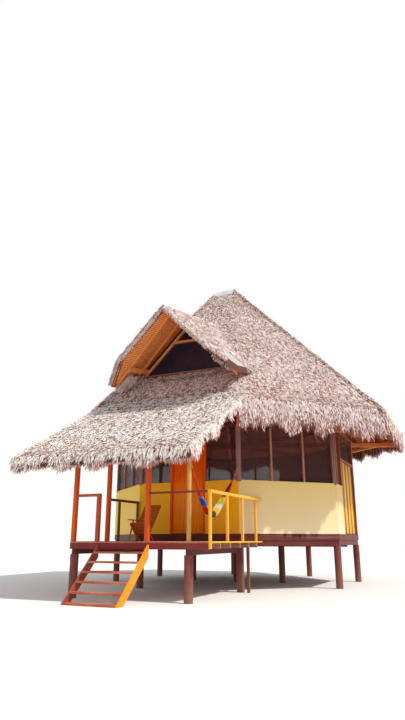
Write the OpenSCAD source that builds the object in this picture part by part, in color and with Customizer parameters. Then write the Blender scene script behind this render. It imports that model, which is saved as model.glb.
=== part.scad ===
// Octagonal stilt house with a thatched roof, a gabled dormer and a thatched porch.
// Origin: foot of the centre post. X runs right along the front, Y to the back, Z up.

/* [House] */
// Length of one side of the octagon
wall_side = 2800; // [2600:10:3000]
// Height of the house floor over the ground
floor_z = 1312; // [1250:2:1380]
// Depth of the wall frame
wall_depth = 90; // [80:1:110]
// Height of the painted lower panels
panel_height = 1221; // [1100:1:1300]
// Height of the top of the wall plate over the ground
plate_z = 4050; // [3950:5:4150]
// Depth of the rim beams round the floor
rim_depth = 282; // [260:2:300]

/* [Deck] */
// Height of the deck floor over the ground
deck_z = 1140; // [1100:2:1160]
// Width of the deck
deck_width = 3260; // [3100:2:3400]
// Distance the deck reaches past the left end of the front wall
deck_overhang = 72; // [60:1:90]
// Distance from the deck's front edge to the front wall
deck_depth = 2766; // [2600:2:2900]
// Height of the hand rails over the deck floor
rail_height = 990; // [900:5:1050]
// Number of stair treads
tread_count = 6; // [5:1:7]
// Width of the stair over its side boards
stair_width = 1240; // [1100:5:1300]
// Distance of the stair from the deck's left edge
stair_place = 705; // [680:5:730]
// Horizontal reach of the stair
stair_run = 1120; // [1000:5:1300]

/* [Posts] */
// Diameter of the round posts under the house
stilt_d = 180; // [150:1:210]
// Width of the square porch posts
porch_post_w = 90; // [70:1:110]
// Diameter of the natural pole at the front
pole_d = 92; // [80:1:110]

/* [Doors] */
// Width of the front doorway
front_door_w = 888; // [800:2:900]
// Height of every doorway over the house floor
door_height = 1983; // [1900:1:2050]
// Width of the doorway of the double side door
side_door_w = 1840; // [1700:2:1850]
// Thickness of a door leaf
leaf_t = 40; // [35:1:45]
// Gap round a door leaf
leaf_gap = 6; // [5:0.5:8]

/* [Roof] */
// Radius of the eave corners
eave_r = 5250; // [5150:5:5350]
// Height of the thatch's top edge at the eave
eave_z = 4300; // [4250:5:4400]
// Height of the ridge
ridge_z = 9300; // [9000:10:9500]
// Left end of the short ridge
ridge_x0 = -590; // [-650:5:-500]
// Right end of the short ridge
ridge_x1 = 100; // [50:5:150]
// Upright thickness of the thatch
thatch_t = 260; // [220:2:300]
// Height of the lower tips of the eave fringe
fringe_z = 3640; // [3600:5:3700]

/* [Porch roof] */
// Distance of the porch eave from the centre post
porch_eave_y = 6870; // [6750:5:6950]
// Height of the thatch's top edge at the porch eave
porch_eave_z = 2930; // [2900:5:3000]
// Left end of the porch eave
porch_left_x = -2620; // [-2700:5:-2500]
// Right end of the porch eave
porch_right_x = 1700; // [1600:5:1800]

/* [Dormer] */
// Place of the dormer's middle along the front
dormer_x = 170; // [150:5:190]
// Distance of the dormer's gable frame from the centre post
gable_y = 3806; // [3780:2:3830]
// Half of the dormer roof's width
dormer_half = 1740; // [1700:5:1800]
// Front end of the dormer's ridge, from the centre post
dormer_front_y = 5200; // [5100:5:5250]
// Height of the dormer's ridge at its front end
dormer_front_z = 6740; // [6700:5:6800]
// Distance of the dormer's lower front corners from the centre post
dormer_corner_y = 4700; // [4650:5:4750]
// Rise of the dormer's ridge towards the back, per unit of length
dormer_rise = 0.19; // [0.15:0.01:0.22]
// Fall of the dormer's slopes, per unit of width
dormer_fall = 1.0; // [0.95:0.01:1.05]
// Thickness of the dormer's thatch, square to its slopes
dormer_thatch = 110; // [100:2:130]

/* [Furniture] */
// Width of the porch chair
chair_w = 430; // [420:5:500]
// Sag of the hammock under its two ties
hammock_sag = 1085; // [900:5:1150]

/* [Hidden] */

MAROON = [0.42, 0.16, 0.15];
ORANGE = [0.80, 0.36, 0.10];
YELLOW = [0.93, 0.62, 0.16];
CREAM = [0.93, 0.86, 0.64];
BARE = [0.72, 0.56, 0.38];
THATCH = [0.72, 0.62, 0.55];
NET = [0.22, 0.16, 0.17];
PALE = [0.88, 0.86, 0.82];

// Clearance between pieces that only touch.
fit = 0.3;
half_turn = 22.5;
wall_a = wall_side * (1 + sqrt(2)) / 2;
eave_a = eave_r * cos(half_turn);
stilt_ring = (wall_a - stilt_d / 2 - fit) / cos(half_turn);
post_end = wall_side / 2 - 70;
run_end = post_end - fit;
side_x1 = post_end - 40;
side_x0 = side_x1 - side_door_w;
hinge_r = 7;
hinge_axis_y = wall_depth + hinge_r + fit;
stud = 60;
panel_t = 18;
panel_z = floor_z + panel_height;
head_z = floor_z + door_height;
beam_w = 80;
beam_depth = 120;
tie_z = plate_z - beam_depth;
floor_t = 30;
joist_depth = 150;
girder_z = floor_z - floor_t - joist_depth;
girder_depth = 150;
joist_w = 50;
joist_step = 600;
tall = 12000;
// Half of the open mitre between the pieces of a ring.
joint_gap = 1;
rim_step = 25;
rim_top_depth = 150;

deck_x0 = -wall_side / 2 - deck_overhang;
deck_x1 = deck_x0 + deck_width;
deck_y0 = -wall_a - deck_depth;
deck_t = 30;
deck_joist_depth = 110;
deck_joist_z = deck_z - deck_t - deck_joist_depth;
deck_girder_depth = 120;
deck_girder_z = deck_joist_z - deck_girder_depth;
deck_joist_start = 471;
deck_joist_count = 5;
deck_joist_step = (deck_depth - joist_w - fit - deck_joist_start) / (deck_joist_count - 1);
deck_edge_t = 40;
deck_girder_back = corner(stilt_ring, 0)[1] - stilt_d / 2 - fit;
pole_x = deck_x0 + 2795;
post_x = deck_x0 + 50;
mid_post_x = deck_x0 + 1873;
side_post_y = deck_y0 + 1355;
newel_x = deck_x0 + 665;
newel_w = 80;
stilt_inset = 72;
prop_w = 60;
prop_x = deck_x1 - 183;

rafter_w = 60;
rafter_depth = 130;
rafter_drop = thatch_t + fit;
king_d = 220;
cap_w = 200;
cap_t = 32;
tie_start = king_d / 2 * cos(half_turn);
ridge_beam_depth = 140;
ridge_beam_z = ridge_z - thatch_t - 40 * slope(0) - ridge_beam_depth;
hip_w = 80;
hip_drop = thatch_t + 0.3 * hip_w;
hip_tail = 122;
purlin_w = 80;
purlin_depth = 80;
common_x = 1000;

porch_slope = (eave_z - porch_eave_z) / (porch_eave_y - eave_a);
porch_line_y = -deck_y0 - porch_post_w / 2;
porch_beam_depth = 110;
porch_rafter_depth = 90;
porch_rafter_count = 7;
porch_beam_z = porch_z(porch_line_y + 45) - thatch_t - porch_rafter_depth - porch_beam_depth
    - fit;

stringer_t = 40;
stair_x0 = deck_x0 + stair_place;
stair_x1 = stair_x0 + stair_width;
stringer_depth = 200;
tread_t = 38;
tread_depth = 235;
first_drop = 200;
last_tread_z = 42;

rail_t = 45;
rail_z = deck_z + rail_height;
baluster_w = 50;
baluster_count = 4;
baluster_step = 905;

hinge_z = [220, 990, 1700];
stop_w = 14;
stop_t = 14;

dormer_tilt = atan(dormer_fall * cos(atan(dormer_rise)));
dormer_verge = dormer_half - 540;
dormer_board_t = 16;
dormer_under = dormer_thatch + dormer_board_t + fit;
dormer_rafter_d = 60;
gable_t = 70;
gable_drop = 210;
outrigger_x = 1190;
outrigger_w = 50;
flashing_t = 8;
sill_z = roof_z(0, gable_y) + 20;
collar_z = sill_z + 830;
gable_apex_z = dormer_front_z + dormer_rise * (dormer_front_y - gable_y)
    - gable_drop / cos(dormer_tilt) / cos(atan(dormer_rise));
sill_half = (gable_apex_z - sill_z) / dormer_fall - 5;

function corner(r, k) = r * [cos(-112.5 + 45 * k), sin(-112.5 + 45 * k)];
function normal_angle(k) = -90 + 45 * k;
function apex(k) = let (i = k % 8) [i >= 1 && i <= 4 ? ridge_x1 : ridge_x0, 0];
function apex_d(k) = apex(k + (k == 0 || k == 4 ? 0 : (k < 4 ? 0 : 1)))
    * [cos(normal_angle(k)), sin(normal_angle(k))];
function slope(k) = (ridge_z - eave_z) / (eave_a - (k == 0 || k == 4 ? 0 : apex_d(k)));
function roof_z(k, d) = eave_z + slope(k) * (eave_a - d);
function porch_z(d) = eave_z - porch_slope * (d - eave_a);
function tread_z(i) = deck_z - first_drop
    - i * (deck_z - first_drop - last_tread_z) / (tread_count - 1);

// Octagon side k stands with its outer face on the X axis, from -wall_side/2 to wall_side/2.
module on_side(k) {
    rotate([0, 0, 45 * k]) translate([0, -wall_a, 0]) children();
}

// Block between two corners, local to a wall side.
module block(x0, x1, y0, y1, z0, z1) {
    translate([x0, y0, z0]) cube([x1 - x0, y1 - y0, z1 - z0]);
}

// Mitred piece of an octagonal ring between apothems a0 and a1.
module ring_piece(k, a0, a1, z0, z1) {
    c = cos(half_turn);
    along = joint_gap * [-sin(normal_angle(k)), cos(normal_angle(k))];
    translate([0, 0, z0]) linear_extrude(z1 - z0) polygon([
        corner(a0 / c, k) + along, corner(a1 / c, k) + along,
        corner(a1 / c, k + 1) - along, corner(a0 / c, k + 1) - along
    ]);
}

// Profile drawn in distance from the centre and height, swept across side k.
module swept(k, points, width) {
    rotate([0, 0, normal_angle(k)]) translate([0, width / 2, 0]) rotate([90, 0, 0])
        linear_extrude(width) polygon(points);
}

// Sloping sheet of side k, `drop` below the thatch's top face, from d0 out to d1.
module slope_sheet(k, drop, thick, d0, d1) {
    swept(k, [
        [d0, roof_z(k, d0) - drop], [d1, roof_z(k, d1) - drop],
        [d1, roof_z(k, d1) - drop - thick], [d0, roof_z(k, d0) - drop - thick]
    ], 2 * eave_r);
}

// Upright prism over side k of the roof, mitred at its hips.
module side_plan(k) {
    linear_extrude(tall) polygon(k == 0 || k == 4
        ? [apex(k), apex(k + 1), corner(eave_r, k + 1), corner(eave_r, k)]
        : [apex(k + (k < 4 ? 0 : 1)), corner(eave_r, k + 1), corner(eave_r, k)]);
}

// Upright strip along the hip at corner k.
module hip_strip(k, width, r0, r1) {
    a = apex(k);
    run = corner(eave_r, k) - a;
    translate([a[0], a[1], 0]) rotate([0, 0, atan2(run[1], run[0])])
        translate([r0, -width / 2, 0]) cube([norm(run) - r0 - r1, width, tall]);
}

module thatch_side(k) {
    intersection() {
        side_plan(k);
        slope_sheet(k, 0, thatch_t, -700, eave_a);
    }
}

module stilt_posts() color(MAROON) {
    for (k = [0:7]) let (c = corner(stilt_ring, k))
        translate([c[0], c[1], 0]) cylinder(h = floor_z - rim_depth, d = stilt_d);
    for (x = [-1400, 0, 1400])
        translate([x, 0, 0]) cylinder(h = girder_z - girder_depth, d = stilt_d);
    for (x = [deck_x0 + stilt_inset, pole_x])
        translate([x, deck_y0 + stilt_d / 2, 0]) cylinder(h = deck_girder_z, d = stilt_d);
    translate([prop_x - prop_w / 2, -wall_a - fit - (joist_w + prop_w) / 2, 0])
        cube([prop_w, prop_w, deck_joist_z]);
}

module floor_girder() color(MAROON)
    translate([-wall_a + wall_depth, -50, girder_z - girder_depth])
        cube([2 * (wall_a - wall_depth), 100, girder_depth]);

module floor_joists() color(BARE)
    intersection() {
        for (x = [-5:5]) translate([x * joist_step - joist_w / 2, -wall_a, girder_z])
            cube([joist_w, 2 * wall_a, joist_depth]);
        translate([0, 0, girder_z]) linear_extrude(joist_depth)
            polygon([for (k = [0:7]) corner((wall_a - wall_depth) / cos(half_turn), k)]);
    }

module rim_beams() color(MAROON)
    for (k = [0:7]) {
        ring_piece(k, wall_a - wall_depth, wall_a, floor_z - rim_top_depth, floor_z);
        ring_piece(k, wall_a - wall_depth, wall_a - rim_step, floor_z - rim_depth, floor_z);
    }

module house_floor() color(BARE)
    translate([0, 0, floor_z - floor_t]) linear_extrude(floor_t)
        polygon([for (k = [0:7]) corner((wall_a - wall_depth) / cos(half_turn), k)]);

// Distance to the back at which the deck meets the wall, at a place along the front.
function deck_back(x) = x <= wall_side / 2 ? -wall_a : x - wall_a * sqrt(2);

module deck_girders() color(MAROON)
    for (x = [deck_x0 + stilt_inset, pole_x])
        translate([x - 45, deck_y0 + deck_edge_t, deck_girder_z])
            cube([90, deck_girder_back - deck_y0 - deck_edge_t, deck_girder_depth]);

module deck_joists() color(BARE)
    for (i = [0:deck_joist_count - 1])
        translate([deck_x0, deck_y0 + deck_joist_start + i * deck_joist_step, deck_joist_z])
            cube([deck_width + baluster_w, joist_w, deck_joist_depth]);

module deck_floor() color(MAROON)
    translate([0, 0, deck_z - deck_t]) linear_extrude(deck_t) polygon([
        [deck_x0, deck_y0], [deck_x1, deck_y0], [deck_x1, deck_back(deck_x1) - 2 * fit],
        [wall_side / 2, -wall_a - fit], [deck_x0, -wall_a - fit]
    ]);

module deck_edge_boards() color(MAROON)
    translate([deck_x0, deck_y0, deck_joist_z - 14])
        cube([deck_width, deck_edge_t, deck_joist_depth + 14]);

// Stair side board, its outer face at x0.
module stringer(x0) {
    fall = (deck_z - 60) / stair_run;
    translate([x0 + stringer_t, deck_y0, 0]) rotate([90, 0, -90])
        linear_extrude(stringer_t) polygon([
            [0, deck_z - 60], [stair_run, 0], [stair_run - stringer_depth * 1.1, 0],
            [0, deck_z - 60 - fall * (stair_run - (stair_run - stringer_depth * 1.1)) - 40]
        ]);
}

module stair_stringer_left() color(MAROON) stringer(stair_x0);
module stair_stringer_right() color(YELLOW) stringer(stair_x1 - stringer_t);

module stair_treads() color(ORANGE)
    for (i = [0:tread_count - 1])
        translate([
            stair_x0 + stringer_t,
            deck_y0 - (i + 1) * stair_run / tread_count,
            tread_z(i) - tread_t
        ]) cube([stair_x1 - stair_x0 - 2 * stringer_t, tread_depth * 0.75, tread_t]);

module corner_posts() color(BARE)
    for (k = [0:7]) translate([0, 0, floor_z]) rotate([0, 0, 45 * k])
        linear_extrude(tie_z - floor_z) polygon([
            [-wall_side / 2, -wall_a], [-post_end, -wall_a], [-post_end, -wall_a + wall_depth],
            turned([post_end, -wall_a + wall_depth]), turned([post_end, -wall_a])
        ]);

// A point of the side before, seen in the frame of this side.
function turned(p) = [p[0] * cos(45) + p[1] * sin(45), -p[0] * sin(45) + p[1] * cos(45)];

// Middles of the upright studs of side k, besides the door jambs.
function stud_places(k) = k == 0 ? [] : k == 2 ? [-1000] : [-wall_side / 6, wall_side / 6];

module wall_studs() color(BARE)
    for (k = [0:7]) on_side(k) for (x = stud_places(k))
        block(x - 25, x + 25, panel_t, panel_t + stud, floor_z, tie_z - fit);

// Runs of wall beside the doorways of side k, as [start, end].
function wall_runs(k) = k == 0
    ? [[-run_end, -front_door_w / 2 - 50], [front_door_w / 2 + 50, run_end]]
    : k == 2 ? [[-run_end, side_x0 - 50]] : [[-run_end, run_end]];

module wall_panels() color(CREAM)
    for (k = [0:7]) on_side(k) for (r = wall_runs(k))
        block(r[0], r[1], 0, panel_t, floor_z, panel_z);

module sill_rails() color(CREAM)
    for (k = [0:7]) on_side(k) for (r = wall_runs(k))
        block(r[0], r[1], 0, panel_t, panel_z, panel_z + 50);

module net(x0, x1, z0) {
    block(x0, x1, panel_t + stud, panel_t + stud + 5, z0, tie_z - fit);
}

module mesh_screens() color(NET) {
    for (k = [0, 1, 2, 5, 6, 7]) on_side(k) for (r = wall_runs(k)) net(r[0], r[1], panel_z);
    on_side(4) net(-wall_side / 6, run_end, panel_z);
    on_side(2) net(side_x0, side_x1, head_z + 60);
}

module back_boards() color(ORANGE) {
    on_side(3) block(-run_end, run_end, panel_t + stud, wall_depth, panel_z, tie_z - fit);
    on_side(4) block(-run_end, -wall_side / 6 - 10, panel_t + stud, wall_depth, panel_z,
        tie_z - fit);
}

module wall_plates() color(MAROON)
    difference() {
        for (k = [0:7]) ring_piece(k, wall_a - wall_depth, wall_a, tie_z, plate_z);
        for (k = [0:7]) rotate([0, 0, -112.5 + 45 * k])
            translate([0, -beam_w / 2, 0]) cube([tall, beam_w, tall]);
    }

// Frame of a doorway from x0 to x1 with jambs of the given widths, its stops and its hinge halves.
module door_frame(x0, x1, w0, w1, hinges) {
    block(x0 - w0, x0, 0, wall_depth, floor_z, tie_z - fit);
    block(x1, x1 + w1, 0, wall_depth, floor_z, tie_z - fit);
    block(x0, x1, 0, wall_depth, head_z, head_z + 60);
    stop_y = wall_depth - leaf_t - 5 - stop_t;
    block(x0, x0 + stop_w, stop_y, stop_y + stop_t, floor_z, head_z);
    block(x1 - stop_w, x1, stop_y, stop_y + stop_t, floor_z, head_z);
    block(x0, x1, stop_y, stop_y + stop_t, head_z - stop_w, head_z);
    for (x = hinges, z = hinge_z)
        translate([x, 0, floor_z + z]) mirror([x > x0 ? 1 : 0, 0, 0]) hinge_fixed();
}

// Hinge half on the jamb, the jamb's face at x = 0, with its knuckle and pin.
module hinge_fixed() {
    block(-34, leaf_gap / 2, wall_depth, wall_depth + 3, 0, 45);
    translate([leaf_gap / 2, hinge_axis_y, 0]) {
        cylinder(h = 45, r = hinge_r);
        cylinder(h = 94, r = hinge_r / 2);
    }
}

// Hinge half on the leaf, a knuckle round the pin and its plate.
module hinge_moving() {
    difference() {
        union() {
            block(leaf_gap / 2, 44, wall_depth, wall_depth + 3, 46, 90);
            translate([leaf_gap / 2, hinge_axis_y, 46]) cylinder(h = 44, r = hinge_r);
        }
        translate([leaf_gap / 2, hinge_axis_y, 0]) cylinder(h = 200, r = hinge_r / 2 + fit);
    }
}

// Door leaf of width w in a doorway whose jamb is at x = 0, reaching to positive x.
module leaf(w) {
    block(leaf_gap, w, wall_depth - leaf_t, wall_depth, floor_z + 10, head_z - leaf_gap);
    for (z = hinge_z) translate([0, 0, floor_z + z]) hinge_moving();
}

module front_door_frame() color(ORANGE)
    on_side(0) door_frame(-front_door_w / 2, front_door_w / 2, 50, 50, [-front_door_w / 2]);

module front_door_transom() color(ORANGE)
    on_side(0) block(-front_door_w / 2, front_door_w / 2, 10, 30, head_z + 60, tie_z - fit);

module front_door() color(ORANGE)
    on_side(0) translate([-front_door_w / 2, 0, 0]) leaf(front_door_w - leaf_gap);

module side_door_frame() color(ORANGE)
    on_side(2) door_frame(side_x0, side_x1, 50, 40 - fit, [side_x0, side_x1]);

module side_door_left() color(YELLOW)
    on_side(2) translate([side_x0, 0, 0]) leaf(side_door_w / 2 - leaf_gap / 2);

module side_door_right() color(YELLOW)
    on_side(2) translate([side_x1, 0, 0]) mirror([1, 0, 0]) leaf(side_door_w / 2 - leaf_gap / 2);

module tie_beams() color(ORANGE)
    for (k = [0:7]) rotate([0, 0, -112.5 + 45 * k])
        translate([tie_start, -beam_w / 2, tie_z])
            cube([eave_r - 170 - tie_start, beam_w, beam_depth]);

module king_post() color(BARE)
    translate([0, 0, tie_z - 40]) cylinder(h = ridge_beam_z - tie_z + 40, d = king_d, $fn = 8);

module ridge_beam() color(BARE)
    translate([ridge_x0, -40, ridge_beam_z]) cube([ridge_x1 - ridge_x0, 80, ridge_beam_depth]);

purlin_a = eave_a - 230;
purlin_top = plate_z + purlin_depth;

module eave_purlins() color(ORANGE)
    for (k = [0:7])
        ring_piece(k, purlin_a - purlin_w / 2, purlin_a + purlin_w / 2, plate_z, purlin_top);

module hip_rafters() color(ORANGE)
    difference() {
        for (k = [0:7]) let (a = apex(k), run = corner(eave_r, k) - a, l = norm(run))
            translate([a[0], a[1], 0]) rotate([0, 0, atan2(run[1], run[0])])
                translate([0, hip_w / 2, 0]) rotate([90, 0, 0]) linear_extrude(hip_w)
                    let (m = (ridge_z - eave_z) / l, z0 = ridge_z - hip_drop) polygon([
                        [220, z0 - m * 220], [l - hip_tail, z0 - m * (l - hip_tail)],
                        [l - hip_tail, z0 - m * (l - hip_tail) - 140], [220, z0 - m * 220 - 140]
                    ]);
        eave_purlins();
        for (k = [0:7]) rotate([0, 0, -112.5 + 45 * k])
            translate([0, -beam_w, tie_z - 400]) cube([eave_r, 2 * beam_w, beam_depth + 400]);
    }

// Plan strips of the common rafters of side k.
module rafter_strips(k) {
    rotate([0, 0, normal_angle(k)]) for (t = [-common_x, 0, common_x])
        translate([140, t - rafter_w / 2, 0]) cube([eave_a - 140 - 80, rafter_w, tall]);
}

module common_rafters() color(ORANGE)
    difference() {
        for (k = [0:7]) intersection() {
            side_plan(k);
            slope_sheet(k, rafter_drop, rafter_depth, 0, eave_a);
            rafter_strips(k);
        }
        for (k = [0:7]) hip_strip(k, hip_w + 10, 0, 0);
        eave_purlins();
        translate([0, 0, ridge_z - 1200]) cube([2400, 300, 2400], center = true);
        intersection() {
            under_dormer(dormer_under - 120);
            sill_box(gable_t - gable_y - fit, 2600, 0);
        }
    }

module thatch_front() color(THATCH)
    difference() {
        thatch_side(0);
        dormer_void();
    }

module thatch_front_right() color(THATCH) thatch_side(1);
module thatch_right() color(THATCH) thatch_side(2);
module thatch_back_right() color(THATCH) thatch_side(3);
module thatch_back() color(THATCH) thatch_side(4);
module thatch_back_left() color(THATCH) thatch_side(5);
module thatch_left() color(THATCH) thatch_side(6);
module thatch_front_left() color(THATCH) thatch_side(7);

module eave_fringe() color(THATCH)
    for (k = [1:7]) intersection() {
        side_plan(k);
        swept(k, [
            [eave_a - 80, roof_z(k, eave_a - 80) - thatch_t - fit],
            [eave_a, eave_z - thatch_t - fit], [eave_a, fringe_z], [eave_a - 80, fringe_z]
        ], 2 * eave_r);
        ring_piece(k, eave_a - 80, eave_a, 0, tall);
    }

module ridge_cap() color(PALE)
    translate([ridge_x0, 0, 0]) rotate([90, 0, 90]) linear_extrude(ridge_x1 - ridge_x0)
        polygon([
            [-cap_w, ridge_z + fit - slope(0) * cap_w], [0, ridge_z + fit],
            [cap_w, ridge_z + fit - slope(0) * cap_w],
            [cap_w, ridge_z + cap_t - slope(0) * cap_w], [0, ridge_z + cap_t + 8],
            [-cap_w, ridge_z + cap_t - slope(0) * cap_w]
        ]);

porch_posts_at = [[post_x, -porch_line_y], [post_x, side_post_y], [mid_post_x, -porch_line_y]];

module porch_posts() color(ORANGE)
    for (p = porch_posts_at)
        translate([p[0] - porch_post_w / 2, p[1] - porch_post_w / 2, deck_z])
            cube([porch_post_w, porch_post_w,
                (p[1] > -5500 ? porch_z(-p[1] + 45) - thatch_t - porch_rafter_depth
                    : porch_beam_z) - deck_z]);

module porch_pole() color(BARE)
    translate([pole_x, deck_y0 + rail_t + pole_d / 2, deck_z])
        cylinder(h = porch_beam_z - deck_z, d = pole_d);

module porch_beam() color(BARE)
    translate([deck_x0 - 150, -porch_line_y - 45, porch_beam_z])
        cube([pole_x - deck_x0 + 300, 120, porch_beam_depth]);

// Plan of the porch roof between two depths, its sides moved in by `inset`.
function porch_side(s, y, inset) = let (
    f = (y - eave_a) / (porch_eave_y - eave_a),
    back = s * (eave_r * sin(half_turn) - inset),
    front = (s < 0 ? porch_left_x : porch_right_x) - s * inset
) back + f * (front - back);

// Sloping sheet of the porch roof.
module porch_sheet(drop, thick, d0, d1) {
    swept(0, [
        [d0, porch_z(d0) - drop], [d1, porch_z(d1) - drop],
        [d1, porch_z(d1) - drop - thick], [d0, porch_z(d0) - drop - thick]
    ], 2 * eave_r);
}

module porch_plan(d0, d1, inset) {
    linear_extrude(tall) polygon([
        [porch_side(-1, d0, inset), -d0], [porch_side(1, d0, inset), -d0],
        [porch_side(1, d1, inset), -d1], [porch_side(-1, d1, inset), -d1]
    ]);
}

module porch_thatch() color(THATCH)
    intersection() {
        porch_plan(eave_a, porch_eave_y, 0);
        porch_sheet(0, thatch_t, eave_a, porch_eave_y);
    }

module porch_fringe() color(THATCH)
    intersection() {
        porch_plan(eave_a, porch_eave_y, 0);
        swept(0, [
            [porch_eave_y - 90, porch_z(porch_eave_y - 90) - thatch_t],
            [porch_eave_y, porch_eave_z - thatch_t],
            [porch_eave_y, porch_eave_z - 340], [porch_eave_y - 90, porch_eave_z - 340]
        ], 2 * eave_r);
    }

module porch_rafters() color(BARE)
    for (i = [0:porch_rafter_count - 1]) let (
        f = i / (porch_rafter_count - 1),
        back = -1780 + f * 3560,
        front = porch_left_x + 100 + f * (porch_right_x - porch_left_x - 200)
    ) intersection() {
        porch_sheet(thatch_t, porch_rafter_depth, eave_a - 60, porch_eave_y - 100);
        linear_extrude(tall) polygon([
            [back - 30, -eave_a + 60], [back + 30, -eave_a + 60],
            [front + 30, -porch_eave_y + 100], [front - 30, -porch_eave_y + 100]
        ]);
    }

// Frame of the dormer's ridge, its front end at the origin and Y along the ridge.
module on_dormer_ridge() {
    translate([dormer_x, -dormer_front_y, dormer_front_z]) rotate([atan(dormer_rise), 0, 0])
        children();
}

// Everything lower than `drop` under the top faces of the dormer's two slopes.
module under_dormer(drop) {
    low = drop / cos(dormer_tilt);
    side = 3000 * tan(dormer_tilt) + low;
    on_dormer_ridge() rotate([90, 0, 0]) translate([0, 0, -5200]) linear_extrude(7000)
        polygon([[0, -low], [3000, -side], [3000, -5000], [-3000, -5000], [-3000, -side]]);
}

// Upright box as wide as the gable's sill, `more` wider on each side, from depth y inwards.
module sill_box(y, deep, more) {
    translate([dormer_x - sill_half - more, y, 4000]) cube([2 * (sill_half + more), deep, 4600]);
}

// Opening in the main thatch under the dormer, behind its gable.
module dormer_void() {
    intersection() {
        under_dormer(dormer_under - 2 * fit);
        sill_box(-gable_y - fit, 2600, fit);
    }
}

// Sheet of the right dormer slope, from `drop` to `drop + thick` under its top face.
module dormer_sheet(drop, thick) {
    on_dormer_ridge() rotate([0, dormer_tilt, 0]) translate([-600, -800, -drop - thick])
        cube([4000, 5400, thick]);
}

// Plan of the right dormer slope; `inset` moves its front and its lower edge in.
module dormer_plan(inset) {
    translate([dormer_x, 0, 0]) linear_extrude(tall) polygon([
        [joint_gap, inset - dormer_front_y], [dormer_verge, inset - dormer_front_y + 10],
        [dormer_half - inset, inset - dormer_corner_y], [dormer_half - inset, -2500],
        [joint_gap, -1400]
    ]);
}

// Shows its children on both dormer slopes.
module both_slopes() {
    children();
    translate([2 * dormer_x, 0, 0]) mirror([1, 0, 0]) children();
}

// Everything under the top faces of the three roof sides next to the dormer, raised by `more`.
module under_roof(more) {
    intersection() {
        slope_sheet(0, -more, 6000, -2000, 6500);
        slope_sheet(1, -more, 6000, -2000, 6500);
        slope_sheet(7, -more, 6000, -2000, 6500);
    }
}

module dormer_thatch_right() color(THATCH)
    difference() {
        intersection() {
            dormer_plan(0);
            dormer_sheet(0, dormer_thatch);
        }
        under_roof(fit);
    }

module dormer_thatch_left() color(THATCH)
    difference() {
        translate([2 * dormer_x, 0, 0]) mirror([1, 0, 0]) intersection() {
            dormer_plan(0);
            dormer_sheet(0, dormer_thatch);
        }
        under_roof(fit);
    }

module dormer_boards() color(ORANGE)
    difference() {
        both_slopes() intersection() {
            dormer_plan(40);
            dormer_sheet(dormer_thatch + fit, dormer_board_t - fit);
        }
        under_roof(fit);
    }

// Plan strip of a dormer rafter from its ridge end to its low end, given from the centre post.
module dormer_rafter(ridge_y, low_y) {
    translate([dormer_x, 0, 0]) linear_extrude(tall) polygon([
        [joint_gap, -ridge_y - 25], [dormer_half - 60, -low_y - 25],
        [dormer_half - 60, -low_y + 25], [joint_gap, -ridge_y + 25]
    ]);
}

module dormer_rafters() color(BARE)
    difference() {
        both_slopes() intersection() {
            dormer_sheet(dormer_under, dormer_rafter_d);
            union() {
                dormer_rafter(dormer_front_y - 330, dormer_corner_y - 130);
                dormer_rafter(gable_y + 357, gable_y + 124);
            }
        }
        under_roof(fit);
    }

// Gable frame: two sloping members, a collar, a sill on the rafters, and outriggers to the front.
module dormer_frame() color(BARE)
    difference() {
        union() {
            intersection() {
                under_dormer(gable_drop);
                sill_box(-gable_y, gable_t, 0);
                union() {
                    difference() {
                        translate([-3000, -4500, 4000]) cube([6000, 2000, 4600]);
                        under_dormer(gable_drop + 60);
                    }
                    translate([-3000, -4500, 4000]) cube([6000, 2000, sill_z - 4000]);
                    translate([-3000, -4500, collar_z]) cube([6000, 2000, 50]);
                }
            }
            both_slopes() intersection() {
                dormer_sheet(dormer_under + dormer_rafter_d + fit, 54);
                translate([dormer_x + outrigger_x - outrigger_w / 2, -dormer_corner_y - 60, 0])
                    cube([outrigger_w, dormer_corner_y + 60 - gable_y + gable_t / 2, tall]);
            }
        }
        slope_sheet(0, thatch_t, 6000, -2000, 6500);
    }

module dormer_screen() color(NET)
    difference() {
        intersection() {
            under_dormer(dormer_under + fit);
            translate([-3000, gable_t - gable_y + fit, sill_z - 60]) cube([6000, 5, 3000]);
        }
        difference() {
            under_roof(fit);
            sill_box(-gable_y - 1000, 2600, -fit);
        }
    }

module dormer_flashing() color(PALE)
    intersection() {
        dormer_sheet(-flashing_t - fit, flashing_t);
        translate([dormer_x, 0, 0]) linear_extrude(tall) polygon([
            [dormer_verge + 60, -dormer_corner_y - 180], [dormer_verge + 20, -dormer_corner_y + 480],
            [dormer_half, -dormer_corner_y + 560], [dormer_half, -dormer_corner_y + 10]
        ]);
    }

module front_rail_left() color(ORANGE) {
    translate([post_x + porch_post_w / 2, deck_y0 + 20, rail_z - 60])
        cube([newel_x - newel_w / 2 - post_x - porch_post_w / 2, rail_t, 60]);
    translate([newel_x - newel_w / 2, deck_y0, deck_z]) cube([newel_w, newel_w, rail_height]);
}

module front_rail_right() color(MAROON)
    translate([mid_post_x + porch_post_w / 2, deck_y0, rail_z - 50])
        cube([deck_x1 - 10 - fit - mid_post_x - porch_post_w / 2, rail_t, 40]);

module side_rail_left() color(MAROON) {
    x = post_x - rail_t / 2;
    y0 = side_post_y + porch_post_w / 2;
    translate([x, y0, rail_z - 60]) cube([rail_t, -wall_a - fit - y0, 60]);
    for (y = [side_post_y + 455, -wall_a - 70])
        translate([x, y, deck_z]) cube([rail_t, 60, rail_height - 60]);
}

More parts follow.
